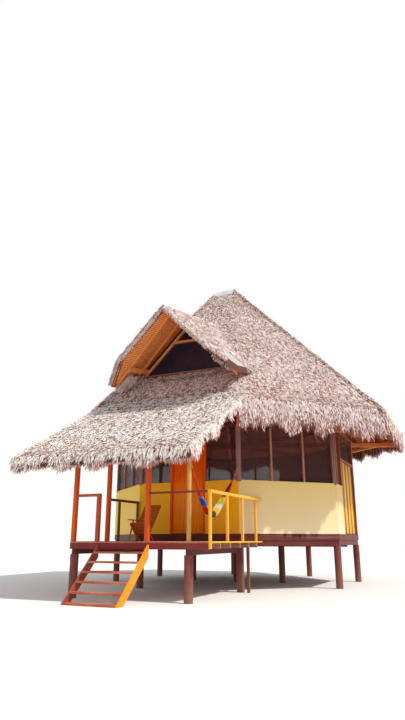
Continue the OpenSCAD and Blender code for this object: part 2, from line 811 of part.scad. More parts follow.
// Right rail with its bottom bar on the joist ends; its first upright runs down beside the fascia.
module side_rail_right() color(YELLOW) {
    end_y = deck_back(deck_x1 - 10) - 2 * fit;
    translate([deck_x1 - 10, deck_y0, rail_z - 60]) cube([baluster_w + 20, end_y - deck_y0, 60]);
    translate([deck_x1 + fit, deck_y0, deck_z - deck_t])
        cube([baluster_w - fit, end_y - deck_y0, deck_t]);
    for (i = [0:baluster_count - 1]) translate([
        deck_x1 + fit, deck_y0 + i * baluster_step, i == 0 ? deck_joist_z : deck_z - deck_t
    ]) cube([baluster_w - fit, 60, rail_z - 60 - (i == 0 ? deck_joist_z : deck_z - deck_t)]);
}

chair_x = deck_x0 + 950;
chair_y = -wall_a - 1620;
chair_bar_w = 40;
chair_bar_t = 22;
chair_lap = 3;

// Frame of a chair bar between two points given as [depth, height]: X along it, Z square to it.
module on_bar(a, b) {
    translate([a[0], 0, a[1]]) rotate([0, -atan2(b[1] - a[1], b[0] - a[0]), 0]) children();
}

module chair_bar(a, b, y, w) {
    on_bar(a, b) translate([0, y, -w / 2]) cube([norm(b - a), chair_bar_t, w]);
}

// Low slatted lounge chair, its front end at X = 0, its bars crossing under the seat.
module chair() {
    seat = [[50, 390], [560, -60]];
    back = [[270, 180], [800, 815]];
    for (y = [0, chair_w - chair_bar_t]) {
        inner = y == 0 ? chair_bar_t - chair_lap : chair_w - 2 * chair_bar_t + chair_lap;
        chair_bar(seat[0], seat[1], inner, chair_bar_w);
        chair_bar(back[0], back[1], y, chair_bar_w);
        chair_bar([35, -40], [222, 470], y, 34);
        translate([0, y - 14, 460]) cube([540, chair_bar_t + 28, 24]);
    }
    on_bar(seat[0], seat[1]) for (i = [0:5])
        translate([2 + i * 66, chair_bar_t + 4, chair_bar_w / 2 - 2])
            cube([56, chair_w - 2 * chair_bar_t - 8, 14]);
    on_bar(back[0], back[1]) for (i = [0:9])
        translate([150 + i * 69, 3, chair_bar_w / 2 - 2]) cube([59, chair_w - 6, 14]);
    translate([278, 5, 189]) rotate([-90, 0, 0]) cylinder(h = chair_w - 10, d = 24);
}

module porch_chair() color(MAROON)
    translate([chair_x, chair_y, deck_z + fit]) rotate([0, 0, 90]) translate([0, -chair_w / 2, 0])
        intersection() {
            chair();
            translate([-200, -200, 0]) cube([1600, chair_w + 400, 1200]);
        }

// Line of the hammock from its tie on the pole (t = 0) to its tie on the corner post (t = 1).
cord_r = 9;
bunch_r = 76;
hammock_front = [pole_x, deck_y0 + rail_t + pole_d + cord_r + fit, deck_z + 1610];
hammock_back = [wall_side / 2 - 15, -wall_a - cord_r - fit, deck_z + 1720];
hammock_low = 0.41;
hammock_steps = 14;
function sag(t) = t < hammock_low
    ? 1 - pow(1 - t / hammock_low, 1.8)
    : 1 - pow((t - hammock_low) / (1 - hammock_low), 1.3);
function hammock_at(t) = hammock_front + t * (hammock_back - hammock_front)
    - [0, 0, hammock_sag * sag(t)];
function hammock_r(t) = cord_r
    + (bunch_r - cord_r) * pow(max(0, sin(180 * (t - 0.06) / 0.82)), 0.8);

module hammock() color("firebrick")
    for (i = [0:hammock_steps - 1]) hull() for (t = [i, i + 1])
        translate(hammock_at(t / hammock_steps))
            sphere(r = hammock_r(t / hammock_steps), $fn = 10);

stilt_posts();
floor_girder();
floor_joists();
rim_beams();
house_floor();
deck_girders();
deck_joists();
deck_floor();
deck_edge_boards();
stair_stringer_left();
stair_stringer_right();
stair_treads();
corner_posts();
wall_studs();
wall_panels();
sill_rails();
mesh_screens();
back_boards();
wall_plates();
front_door_frame();
front_door_transom();
front_door();
side_door_frame();
side_door_left();
side_door_right();
tie_beams();
king_post();
ridge_beam();
eave_purlins();
hip_rafters();
common_rafters();
thatch_front();
thatch_front_right();
thatch_right();
thatch_back_right();
thatch_back();
thatch_back_left();
thatch_left();
thatch_front_left();
eave_fringe();
ridge_cap();
porch_posts();
porch_pole();
porch_beam();
porch_rafters();
porch_thatch();
porch_fringe();
dormer_frame();
dormer_screen();
dormer_boards();
dormer_rafters();
dormer_thatch_left();
dormer_thatch_right();
dormer_flashing();
front_rail_left();
front_rail_right();
side_rail_left();
side_rail_right();
porch_chair();
hammock();
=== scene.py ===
"""Looks of the thatched stilt house: leaf by leaf thatch, boards, paint, netting and a hammock.

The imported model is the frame. Every length is in metres, in the model's own frame:
X runs right along the front, Y to the back and Z up from the ground.
"""

import logging
import math
from dataclasses import dataclass, field
from enum import Enum
from typing import ClassVar, Iterable, Sequence

import bpy
import numpy as np
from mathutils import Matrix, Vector

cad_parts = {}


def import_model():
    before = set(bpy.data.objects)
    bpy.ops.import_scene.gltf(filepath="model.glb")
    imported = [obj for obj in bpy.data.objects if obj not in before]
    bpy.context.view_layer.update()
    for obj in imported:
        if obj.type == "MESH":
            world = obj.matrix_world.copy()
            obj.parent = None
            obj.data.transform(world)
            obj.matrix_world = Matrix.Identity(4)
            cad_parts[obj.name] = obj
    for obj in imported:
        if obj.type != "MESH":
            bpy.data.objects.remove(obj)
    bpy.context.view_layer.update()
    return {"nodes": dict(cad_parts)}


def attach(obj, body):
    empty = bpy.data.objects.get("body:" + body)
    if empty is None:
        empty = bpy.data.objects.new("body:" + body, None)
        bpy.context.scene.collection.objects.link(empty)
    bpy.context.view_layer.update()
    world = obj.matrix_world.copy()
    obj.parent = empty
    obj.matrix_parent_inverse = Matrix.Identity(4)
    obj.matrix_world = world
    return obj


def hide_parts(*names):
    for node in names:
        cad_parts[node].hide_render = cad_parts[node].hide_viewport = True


LOG = logging.getLogger("stilt_house")
HALF_TURN = math.radians(22.5)
DOWN = np.array([0.0, 0.0, -1.0])

Array = np.ndarray
Point = tuple[float, float, float]
Range = tuple[float, float]
Colour = tuple[float, float, float, float]


class Body(Enum):
    """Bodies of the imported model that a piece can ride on."""

    HOUSE = "house"
    FRONT_DOOR = "front_door"
    SIDE_DOOR_LEFT = "side_door_left"
    SIDE_DOOR_RIGHT = "side_door_right"


class Grain(Enum):
    """Direction in which the grain of a wooden part runs."""

    UPRIGHT = (38.0, 38.0, 2.2)
    LEVEL = (2.2, 2.2, 46.0)
    ALONG_X = (2.0, 42.0, 42.0)
    ALONG_Y = (42.0, 2.0, 42.0)


def srgb(red: int, green: int, blue: int) -> Colour:
    """Turns a paint colour named in 0 to 255 into Blender's linear one, with full alpha."""

    def linear(value: float) -> float:
        share = value / 255
        return share / 12.92 if share <= 0.04045 else ((share + 0.055) / 1.055) ** 2.4

    return (linear(red), linear(green), linear(blue), 1.0)


def dimmed(colour: Colour, share: float) -> Colour:
    """The colour with its light scaled."""
    return tuple(share * c for c in colour[:3]) + (1.0,)


def unit(vectors: Array) -> Array:
    """One vector, or each row of several, at length 1."""
    size = np.linalg.norm(vectors) if vectors.ndim == 1 else np.linalg.norm(vectors, axis=1)[:, None]
    return vectors / size


@dataclass(frozen=True)
class Sizes:
    """Sizes of the house that its CAD source sets, in metres."""

    wall_side: float = 2.8
    wall_depth: float = 0.09
    floor_z: float = 1.312
    floor_t: float = 0.03
    panel_z: float = 2.533
    door_height: float = 1.983
    leaf_t: float = 0.04
    leaf_gap: float = 0.006
    front_door_w: float = 0.888
    side_door_w: float = 1.84
    side_x1: float = 1.29
    deck_x0: float = -1.472
    deck_x1: float = 1.788
    deck_depth: float = 2.766
    deck_z: float = 1.14
    deck_t: float = 0.03
    eave_r: float = 5.25
    eave_z: float = 4.3
    ridge_z: float = 9.3
    ridge_x0: float = -0.59
    ridge_x1: float = 0.1
    thatch_t: float = 0.26
    cap_w: float = 0.2
    porch_eave_y: float = 6.87
    porch_eave_z: float = 2.93
    porch_left_x: float = -2.62
    porch_right_x: float = 1.7
    pole_x: float = 1.323
    rail_t: float = 0.045
    pole_r: float = 0.046
    dormer_x: float = 0.17
    dormer_half: float = 1.74
    dormer_front_y: float = 5.2
    dormer_front_z: float = 6.74
    dormer_corner_y: float = 4.7
    dormer_rise: float = 0.19
    dormer_fall: float = 1.0
    dormer_thatch: float = 0.11
    dormer_board_t: float = 0.016
    dormer_verge: float = 1.2

    @property
    def wall_a(self) -> float:
        """Distance from the centre to a wall's outer face."""
        return self.wall_side * (1 + math.sqrt(2)) / 2

    @property
    def eave_a(self) -> float:
        """Distance from the centre to the middle of an eave."""
        return self.eave_r * math.cos(HALF_TURN)

    @property
    def eave_half(self) -> float:
        """Half the length of an eave."""
        return self.eave_r * math.sin(HALF_TURN)

    @property
    def deck_y0(self) -> float:
        """Front edge of the deck."""
        return -self.wall_a - self.deck_depth

    @property
    def side_x0(self) -> float:
        """Left jamb of the side doorway, along its wall."""
        return self.side_x1 - self.side_door_w

    @property
    def porch_slope(self) -> float:
        """Fall of the porch roof per unit of level distance."""
        return (self.eave_z - self.porch_eave_z) / (self.porch_eave_y - self.eave_a)

    def corner(self, radius: float, k: int) -> Array:
        """Corner k of an octagon of the given radius."""
        angle = math.radians(-112.5 + 45 * k)
        return radius * np.array([math.cos(angle), math.sin(angle)])

    def ways(self, k: int) -> tuple[Array, Array]:
        """Level directions out of side k and along it, to the right seen from outside."""
        angle = math.radians(-90 + 45 * k)
        x, y = math.cos(angle), math.sin(angle)
        return np.array([x, y, 0.0]), np.array([-y, x, 0.0])

    def apex(self, k: int) -> Array:
        """End of the ridge to which the hip at corner k runs."""
        return np.array([self.ridge_x1 if 1 <= k % 8 <= 4 else self.ridge_x0, 0.0])

    def slope(self, k: int) -> float:
        """Rise of roof side k per unit of level distance."""
        near = 0.0 if k in (0, 4) else float(self.apex(k if k < 4 else k + 1) @ self.ways(k)[0][:2])
        return (self.ridge_z - self.eave_z) / (self.eave_a - near)

    def plane(self, k: int) -> tuple[Array, Array]:
        """Direction of fall and normal of roof side k."""
        out, rise = self.ways(k)[0][:2], self.slope(k)
        norm = math.hypot(1, rise)
        return np.array([*out, -rise]) / norm, np.array([*(out * rise), 1.0]) / norm

    def porch_plane(self) -> tuple[Array, Array]:
        """Direction of fall and normal of the porch roof."""
        norm = math.hypot(1, self.porch_slope)
        return np.array([0, -1, -self.porch_slope]) / norm, np.array([0, -self.porch_slope, 1]) / norm

    def porch_edge(self, sign: int, depth: Array | float) -> Array | float:
        """Place of a side edge of the porch roof, left -1 or right 1, at a distance from the centre post."""
        back = sign * self.eave_half
        front = self.porch_left_x if sign < 0 else self.porch_right_x
        return back + (depth - self.eave_a) / (self.porch_eave_y - self.eave_a) * (front - back)

    def height(self, k: int, plan: Array) -> Array:
        """Height of roof side k's top face over points in plan."""
        return self.eave_z + self.slope(k) * (self.eave_a - plan @ self.ways(k)[0][:2])

    def lowest(self, plan: Array) -> Array:
        """Height of the main roof over points in plan, whichever side is over them."""
        return np.min([self.height(k, plan) for k in range(8)], axis=0)

    def dormer_height(self, plan: Array) -> Array:
        """Height of the dormer's top faces over points in plan."""
        ridge = self.dormer_front_z + self.dormer_rise * (plan[:, 1] + self.dormer_front_y)
        return ridge - self.dormer_fall * np.abs(plan[:, 0] - self.dormer_x)

    def on_wall(self, k: int, along: float, depth: float, z: float) -> Array:
        """Point of wall side k, `along` from its middle and `depth` in from its face."""
        out, side = self.ways(k)
        return out * (self.wall_a - depth) + side * along - DOWN * z


SIZES = Sizes()


# Finishes


class NodeSketch:
    """Short way to write the node tree of a material or of the world."""

    def __init__(self, owner: bpy.types.ID, output: str = "OutputMaterial") -> None:
        owner.use_nodes = True
        self.owner = owner
        self.tree = owner.node_tree
        self.tree.nodes.clear()
        self.output = self.node(output)

    def node(self, kind: str, settings: dict | None = None, **inputs: object) -> bpy.types.Node:
        """Adds a node, sets its properties and feeds its inputs.

        Args:
            kind: Blender's name of the node type, without ShaderNode.
            settings: Properties to set on the node.
            inputs: Values or output sockets, by i and the input's number, or by its name with _ for a space.

        Returns:
            The new node.
        """
        made = self.tree.nodes.new("ShaderNode" + kind)
        for key, value in (settings or {}).items():
            setattr(made, key, value)
        for key, value in inputs.items():
            socket = made.inputs[int(key[1:]) if key[1:].isdigit() else key.replace("_", " ")]
            if isinstance(value, bpy.types.NodeSocket):
                self.tree.links.new(value, socket)
            else:
                socket.default_value = value
        return made

    def place(self) -> object:
        """Place on the object, in metres."""
        return self.node("TexCoord").outputs["Object"]

    def axis(self, vector: object, name: str) -> object:
        """One axis of a vector."""
        return self.node("SeparateXYZ", Vector=vector).outputs[name]

    def facing(self, name: str) -> object:
        """One axis of the direction that the surface faces."""
        return self.axis(self.node("NewGeometry").outputs["Normal"], name)

    def noise(self, vector: object, scale: float, detail: float = 4.0, rough: float = 0.55) -> object:
        """Noise between 0 and 1 at a scale, over a vector."""
        return self.node("TexNoise", Vector=vector, Scale=scale, Detail=detail, Roughness=rough).outputs[0]

    def stretched(self, vector: object, scale: Sequence[float]) -> object:
        """The vector with each axis scaled by itself."""
        return self.node("Mapping", Vector=vector, Scale=tuple(scale)).outputs[0]

    def math(self, operation: str, a: object, b: object = 0.5, clamp: bool = False) -> object:
        """One arithmetic step."""
        return self.node("Math", {"operation": operation, "use_clamp": clamp}, i0=a, i1=b).outputs[0]

    def times(self, a: object, b: object) -> object:
        """Product of two values."""
        return self.math("MULTIPLY", a, b)

    def wave(self, value: object, turn: float) -> object:
        """Sine of a value times a number."""
        return self.math("SINE", self.times(value, turn))

    def span(
        self, value: object, low: float, high: float, out_low: float = 0.0, out_high: float = 1.0
    ) -> object:
        """Maps a value from one range to another, clamped."""
        ends = {"From_Min": low, "From_Max": high, "To_Min": out_low, "To_Max": out_high}
        return self.node("MapRange", Value=value, **ends).outputs[0]

    def mix(self, factor: object, a: object, b: object) -> object:
        """Mixes two colours."""
        return self.node("Mix", {"data_type": "RGBA"}, i0=factor, i6=a, i7=b).outputs[2]

    def ramp(self, value: object, stops: Sequence[tuple[float, Colour]], constant: bool = False) -> object:
        """Colour ramp over a value."""
        made = self.node("ValToRGB", Fac=value)
        made.color_ramp.interpolation = "CONSTANT" if constant else "LINEAR"
        elements = made.color_ramp.elements
        while len(elements) < len(stops):
            elements.new(0.5)
        for element, (place, colour) in zip(elements, stops):
            element.position = place
            element.color = colour
        return made.outputs[0]

    def attribute(self, name: str) -> object:
        """Value of a mesh attribute."""
        return self.node("Attribute", {"attribute_name": name}).outputs["Fac"]

    def edge(self) -> object:
        """1 at the sharp edges of a part and 0 on its faces."""
        soft = self.node("Bevel", {"samples": 4}, Radius=0.007).outputs[0]
        flat = self.node("NewGeometry").outputs["Normal"]
        same = self.node("VectorMath", {"operation": "DOT_PRODUCT"}, i0=soft, i1=flat).outputs["Value"]
        return self.span(same, 0.86, 0.99, 1.0, 0.0)

    def surface(
        self, colour: object, rough: object, relief: object, height: float, strength: float,
        glow: float = 0.0, **more: float,
    ) -> object:
        """Makes a bumped surface.

        Args:
            colour: Its colour.
            rough: Its roughness.
            relief: The value that its bumps follow.
            height: Height of the bumps in metres.
            strength: How much the bumps count.
            glow: Share of the surface that lets light through from behind.
            more: Other inputs of the shader that are the same all over.

        Returns:
            The shader's output.
        """
        normal = self.node("Bump", Height=relief, Distance=height, Strength=strength).outputs[0]
        inputs = {"Base_Color": colour, "Roughness": rough, "Normal": normal, **more}
        shader = self.node("BsdfPrincipled", **inputs).outputs[0]
        if glow > 0:
            shader = self.blend(glow, shader, self.node("BsdfTranslucent", Color=colour).outputs[0])
        return shader

    def blend(self, share: object, a: object, b: object) -> object:
        """Mixes two shaders."""
        return self.node("MixShader", i0=share, i1=a, i2=b).outputs[0]

    def finish(self, shader: object) -> bpy.types.ID:
        """Sends the shader to the output and returns the material or world."""
        self.tree.links.new(shader, self.output.inputs["Surface"])
        return self.owner


@dataclass(frozen=True)
class Finish:
    """Something that can make its own material once and hand it out again."""

    made: ClassVar[dict[str, bpy.types.Material]] = {}
    name: str

    def material(self) -> bpy.types.Material:
        """The finish's material, made the first time it is asked for."""
        key = repr(self)
        if key not in self.made:
            s = NodeSketch(bpy.data.materials.new(self.name))
            self.made[key] = s.finish(self.sketch(s, s.place()))
        return self.made[key]

    def sketch(self, s: NodeSketch, place: object) -> object:
        """Builds the material's nodes over the place on the object and returns its shader."""
        raise NotImplementedError


@dataclass(frozen=True)
class PaintedWood(Finish):
    """Oil paint brushed on sawn timber, faded in places and rubbed at its edges.

    Boards with a tone of their own take the second colour. Over upper_z the paint takes the upper colour,
    and up to splash_z it is muddy.
    """

    colour: Colour
    faded: Colour
    grain: Grain = Grain.UPRIGHT
    fading: float = 0.45
    wear: float = 0.5
    splash_z: float = 0.0
    roughness: float = 0.5
    second: Colour | None = None
    upper: Colour | None = None
    upper_z: float = 2.45
    depth: float = 0.3
    bare: Colour = srgb(176, 138, 104)
    mud: Colour = srgb(132, 104, 80)

    def sketch(self, s: NodeSketch, place: object) -> object:
        """Builds the paint, its fading, the grain under it, rubbed edges and mud at the foot."""
        grain = s.noise(s.stretched(place, self.grain.value), 1.0, 6.0, 0.62)
        cloud = s.noise(place, 1.7, 5.0, 0.6)
        fine = s.noise(place, 55.0, 3.0, 0.6)
        height = s.axis(place, "Z")
        colour = s.mix(s.times(s.span(cloud, 0.38, 0.68), self.fading), self.colour, self.faded)
        if self.second is not None:
            colour = s.mix(s.attribute("tone"), colour, self.second)
        if self.upper is not None:
            colour = s.mix(s.span(height, self.upper_z - 0.25, self.upper_z + 0.25), colour, self.upper)
        colour = s.mix(s.span(grain, 0.3, 0.7, 0.0, self.depth), colour, dimmed(self.colour, 0.62))
        colour = s.mix(s.times(s.edge(), s.span(fine, 0.35, 0.6, 0.0, self.wear)), colour, self.bare)
        if self.splash_z > 0:
            low = s.span(height, 0.0, self.splash_z, 0.75, 0.0)
            colour = s.mix(s.times(low, s.span(cloud, 0.3, 0.7, 0.5, 1.0)), colour, self.mud)
        rough = s.span(fine, 0.3, 0.7, self.roughness - 0.08, self.roughness + 0.14)
        relief = s.math("ADD", grain, s.times(fine, 0.25))
        return s.surface(colour, rough, relief, 0.0016, 0.7, Specular_IOR_Level=0.2)


@dataclass(frozen=True)
class BareWood(Finish):
    """Unpainted wood, sawn or round, with its growth lines, knots and grey weathering.

    Where a sill colour is given, the parts under sill_z and behind sill_y have it.
    """

    colour: Colour
    dark: Colour
    grey: Colour = srgb(158, 140, 124)
    grain: Grain = Grain.UPRIGHT
    weathered: float = 0.4
    sill: Colour | None = None
    sill_z: float = 5.398
    sill_y: float = -3.9

    def sketch(self, s: NodeSketch, place: object) -> object:
        """Builds the growth lines, weathering, knots and sill."""
        lines = s.noise(s.stretched(place, self.grain.value), 1.3, 8.0, 0.68)
        cloud = s.noise(place, 2.3, 4.0, 0.55)
        knots = s.noise(s.stretched(place, [c * 0.16 for c in self.grain.value]), 1.0, 1.0, 0.4)
        colour = s.mix(s.span(lines, 0.32, 0.68), self.colour, self.dark)
        colour = s.mix(s.times(s.span(cloud, 0.4, 0.7), self.weathered), colour, self.grey)
        colour = s.mix(s.span(knots, 0.7, 0.76, 0.0, 0.6), colour, self.dark)
        if self.sill is not None:
            below = s.math("LESS_THAN", s.axis(place, "Z"), self.sill_z)
            behind = s.math("GREATER_THAN", s.axis(place, "Y"), self.sill_y)
            colour = s.mix(s.times(below, behind), colour, self.sill)
        return s.surface(colour, s.span(lines, 0.3, 0.7, 0.62, 0.85), lines, 0.002, 0.8)


@dataclass(frozen=True)
class PanelPaint(Finish):
    """Cream wall paint on plywood, yellower near its top, with rain streaks and scuffs below.

    Inside the porch the front wall is yellow left of the door and orange-yellow right of it, and the wall
    left of the porch is yellow too: these yellows are the cream paint with painted warm light reflected from
    the yellow rails and deck.
    """

    upper: Colour = srgb(234, 204, 130)
    lower: Colour = srgb(234, 214, 174)
    porch_left: Colour = srgb(255, 194, 10)
    porch_right: Colour = srgb(255, 186, 0)
    beside_porch_reflected_light: Colour = srgb(255, 208, 66)
    blotch: Colour = srgb(222, 180, 110)
    rain: Colour = srgb(176, 142, 98)
    dirt: Colour = srgb(140, 100, 66)
    low_z: float = SIZES.floor_z
    high_z: float = SIZES.panel_z

    def sketch(self, s: NodeSketch, place: object) -> object:
        """Builds the paint of each wall, its blotches, streaks and dirt, and the painted reflected light in
        and beside the porch.
        """
        x, y, height = (s.axis(place, name) for name in "XYZ")
        cloud = s.noise(place, 1.4, 4.0, 0.55)
        streak = s.noise(s.stretched(place, (26.0, 26.0, 0.9)), 1.0, 4.0, 0.6)
        fine = s.noise(place, 140.0, 3.0, 0.6)
        colour = s.mix(s.span(height, self.low_z, self.high_z), self.lower, self.upper)
        # Painted light: the yellow and orange-yellow on the porch's front wall and on the wall left of the
        # porch stand for warm light reflected from the yellow rails and deck onto the cream paint.
        corner_x = SIZES.wall_side / 2 - 0.012
        left = s.math("LESS_THAN", x, -corner_x)
        beside = s.times(left, s.math("LESS_THAN", y, -corner_x))
        colour = s.mix(s.times(beside, 0.85), colour, self.beside_porch_reflected_light)
        front = s.math("LESS_THAN", y, SIZES.wall_depth - SIZES.wall_a - 0.001)
        reflected_light_in_porch = s.times(front, s.math("SUBTRACT", 1.0, s.math("GREATER_THAN", x, corner_x)))
        porch = s.mix(s.math("GREATER_THAN", x, 0.0), self.porch_left, self.porch_right)
        colour = s.mix(s.times(reflected_light_in_porch, s.math("SUBTRACT", 1.0, left)), colour, porch)
        colour = s.mix(s.span(cloud, 0.35, 0.7, 0.0, 0.1), colour, self.blotch)
        colour = s.mix(s.span(streak, 0.56, 0.72, 0.0, 0.07), colour, self.rain)
        foot = s.times(s.span(height, self.low_z, self.low_z + 0.12, 0.12, 0.0), s.span(streak, 0.4, 0.6))
        colour = s.mix(foot, colour, self.dirt)
        colour = self.shade_above(s, colour, height, streak)
        relief = s.math("ADD", s.times(fine, 0.3), cloud)
        rough = s.span(fine, 0.3, 0.7, 0.5, 0.68)
        return s.surface(colour, rough, relief, 0.0012, 0.5, Specular_IOR_Level=0.2)

    def shade_above(self, s: NodeSketch, colour: object, height: object, streak: object) -> object:
        """The colour above the sill, the wall's own unless a part differs there."""
        return colour


@dataclass(frozen=True)
class CornerPostPaint(PanelPaint):
    """Paint of the corner posts, which below the sill have the colour of the wall."""

    post: Colour = srgb(142, 96, 86)
    brushed: Colour = srgb(172, 136, 126)

    def shade_above(self, s: NodeSketch, colour: object, height: object, streak: object) -> object:
        """The post's own paint above the sill, brushed unevenly."""
        own = s.mix(s.span(streak, 0.35, 0.65, 0.0, 0.45), self.post, self.brushed)
        return s.mix(s.math("GREATER_THAN", height, self.high_z + 0.01), colour, own)


@dataclass(frozen=True)
class LeafThatch(Finish):
    """Dry palm leaf strips. Each has its own tone from dark to bleached, and one edge in shade."""

    dark: Colour
    middle: Colour
    pale: Colour
    bleached: Colour

    def sketch(self, s: NodeSketch, place: object) -> object:
        """Builds the leaves from each strip's own tone and how lit its edges are."""
        patch = s.span(s.noise(place, 0.9, 4.0, 0.6), 0.3, 0.7, -0.07, 0.07)
        stops = [(0.0, self.dark), (0.24, self.middle), (0.5, self.pale), (0.85, self.bleached)]
        colour = s.ramp(s.math("ADD", s.attribute("tone"), patch), stops)
        shade = s.span(s.attribute("lit"), 0.0, 0.5, 0.76, 1.0)
        shaded = s.node("VectorMath", {"operation": "SCALE"}, i0=colour, Scale=shade).outputs[0]
        fibre = s.noise(s.stretched(place, (90.0, 90.0, 90.0)), 1.0, 3.0, 0.6)
        return s.surface(shaded, s.span(fibre, 0.3, 0.7, 0.55, 0.8), fibre, 0.001, 0.4, glow=0.2)


@dataclass(frozen=True)
class ThatchBody(Finish):
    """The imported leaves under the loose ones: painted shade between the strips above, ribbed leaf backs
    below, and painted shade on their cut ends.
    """

    top: Colour
    under: Colour
    under_dark: Colour

    def sketch(self, s: NodeSketch, place: object) -> object:
        """Builds the leaves after whether a face looks up, out or down."""
        speck = s.noise(place, 24.0, 6.0, 0.7)
        rows = s.noise(s.stretched(place, (9.0, 9.0, 46.0)), 1.0, 5.0, 0.65)
        up = s.facing("Z")
        # Painted shade: dark specks on the top faces, where the gaps between the strips above lie in shade.
        top = s.mix(s.span(speck, 0.35, 0.65), dimmed(self.top, 0.35), self.top)
        under = s.mix(s.span(rows, 0.35, 0.65), self.under_dark, self.under)
        # Painted shade: the upright cut faces take both leaf colours dimmed to 0.4.
        ends = s.mix(s.span(speck, 0.4, 0.62), dimmed(self.under_dark, 0.4), dimmed(self.top, 0.4))
        colour = s.mix(s.span(up, -0.3, -0.2), under, s.mix(s.span(up, 0.3, 0.4), ends, top))
        return s.surface(colour, s.span(speck, 0.3, 0.7, 0.7, 0.9), s.math("ADD", speck, rows), 0.012, 0.9)


@dataclass(frozen=True)
class Netting(Finish):
    """Fine dark insect netting that lets part of the light through."""

    thread: Colour
    cover: float
    mesh_size: float = 0.0035

    def sketch(self, s: NodeSketch, place: object) -> object:
        """Builds threads each way, and clear holes between them."""
        one, other = s.times(s.axis(place, "Y"), s.facing("X")), s.times(s.axis(place, "X"), s.facing("Y"))
        turns = 2 * math.pi / self.mesh_size
        across, height = s.math("SUBTRACT", one, other), s.axis(place, "Z")
        lines = s.math("MAXIMUM", s.wave(across, turns), s.wave(height, turns))
        sag = s.noise(place, 2.2, 3.0, 0.5)
        threads = s.span(lines, -0.2, 0.6, self.cover - 0.16, self.cover + 0.12)
        threads = s.math("ADD", threads, s.span(sag, 0.3, 0.7, -0.05, 0.05), clamp=True)
        colour = s.mix(s.span(sag, 0.35, 0.65), self.thread, dimmed(self.thread, 1.5))
        cloth = s.node("BsdfPrincipled", Base_Color=colour, Roughness=s.span(sag, 0.3, 0.7, 0.7, 0.85))
        return s.blend(threads, s.node("BsdfTransparent").outputs[0], cloth.outputs[0])


@dataclass(frozen=True)
class SheetMetal(Finish):
    """Pale painted sheet with dull patches and streaks of dirt."""

    colour: Colour
    dirt: Colour

    def sketch(self, s: NodeSketch, place: object) -> object:
        """Builds the paint and its dirt."""
        fine = s.noise(place, 70.0, 3.0, 0.6)
        colour = s.mix(s.span(s.noise(place, 5.0, 5.0, 0.6), 0.45, 0.72, 0.0, 0.5), self.colour, self.dirt)
        return s.surface(colour, s.span(fine, 0.3, 0.7, 0.4, 0.62), fine, 0.0008, 0.5, Metallic=0.1)


@dataclass(frozen=True)
class StripedCloth(Finish):
    """Hand-woven cloth in broad coloured stripes, which follow its own length."""

    stripes: tuple[tuple[float, Colour], ...]
    warp: Colour = (0.02, 0.01, 0.01, 1.0)

    def sketch(self, s: NodeSketch, place: object) -> object:
        """Builds the stripes and the weave."""
        along, across = s.attribute("along"), s.attribute("across")
        shift = s.times(s.wave(across, 5.0), 0.01)
        colour = s.ramp(s.math("ADD", along, shift), self.stripes, constant=True)
        weave = s.times(s.wave(along, 2400.0), s.wave(across, 1300.0))
        colour = s.mix(s.span(weave, -1.0, 1.0, 0.0, 0.16), colour, self.warp)
        rough = s.span(weave, -1.0, 1.0, 0.75, 0.9)
        return s.surface(colour, rough, weave, 0.0006, 0.6, 0.4, Sheen_Weight=0.25, Specular_IOR_Level=0.2)


@dataclass(frozen=True)
class TwistedRope(Finish):
    """Twisted cotton rope."""

    colour: Colour
    dark: Colour

    def sketch(self, s: NodeSketch, place: object) -> object:
        """Builds the twist."""
        bands = {"bands_direction": "DIAGONAL"}
        wave = s.node("TexWave", bands, Vector=place, Scale=60.0, Distortion=1.5).outputs[0]
        colour = s.mix(wave, self.colour, self.dark)
        return s.surface(colour, s.span(wave, 0.0, 1.0, 0.75, 0.9), wave, 0.002, 0.8)


# Meshes


@dataclass
class MeshParts:
    """Points, faces and per-point values of one piece, collected as arrays."""

    points: list[Array] = field(default_factory=list)
    corners: list[Array] = field(default_factory=list)
    starts: list[Array] = field(default_factory=list)
    values: dict[str, list[Array]] = field(default_factory=dict)
    point_count: int = 0
    corner_count: int = 0

    def add(self, points: Array, faces: Iterable[Array], **values: Array) -> None:
        """Adds points with the faces between them.

        Args:
            points: Rows of X, Y, Z.
            faces: Arrays of faces, each with rows of 3 or more point numbers.
            values: Arrays with one number a point, by the attribute's name.
        """
        self.points.append(points)
        for group in faces:
            self.corners.append((group + self.point_count).ravel())
            self.starts.append(self.corner_count + np.arange(len(group)) * group.shape[1])
            self.corner_count += group.size
        for key, value in values.items():
            self.values.setdefault(key, []).append(value)
        self.point_count += len(points)

    def mesh(self, name: str) -> bpy.types.Mesh:
        """Makes the Blender mesh."""
        made = bpy.data.meshes.new(name)
        made.vertices.add(self.point_count)
        made.vertices.foreach_set("co", np.concatenate(self.points).astype(np.float32).ravel())
        made.loops.add(self.corner_count)
        made.loops.foreach_set("vertex_index", np.concatenate(self.corners).astype(np.int32))
        starts = np.concatenate(self.starts).astype(np.int32)
        made.polygons.add(len(starts))
        made.polygons.foreach_set("loop_start", starts)
        made.update(calc_edges=True)
        for key, value in self.values.items():
            made.attributes.new(key, "FLOAT", "POINT").data.foreach_set(
                "value", np.concatenate(value).astype(np.float32)
            )
        made.validate()
        return made


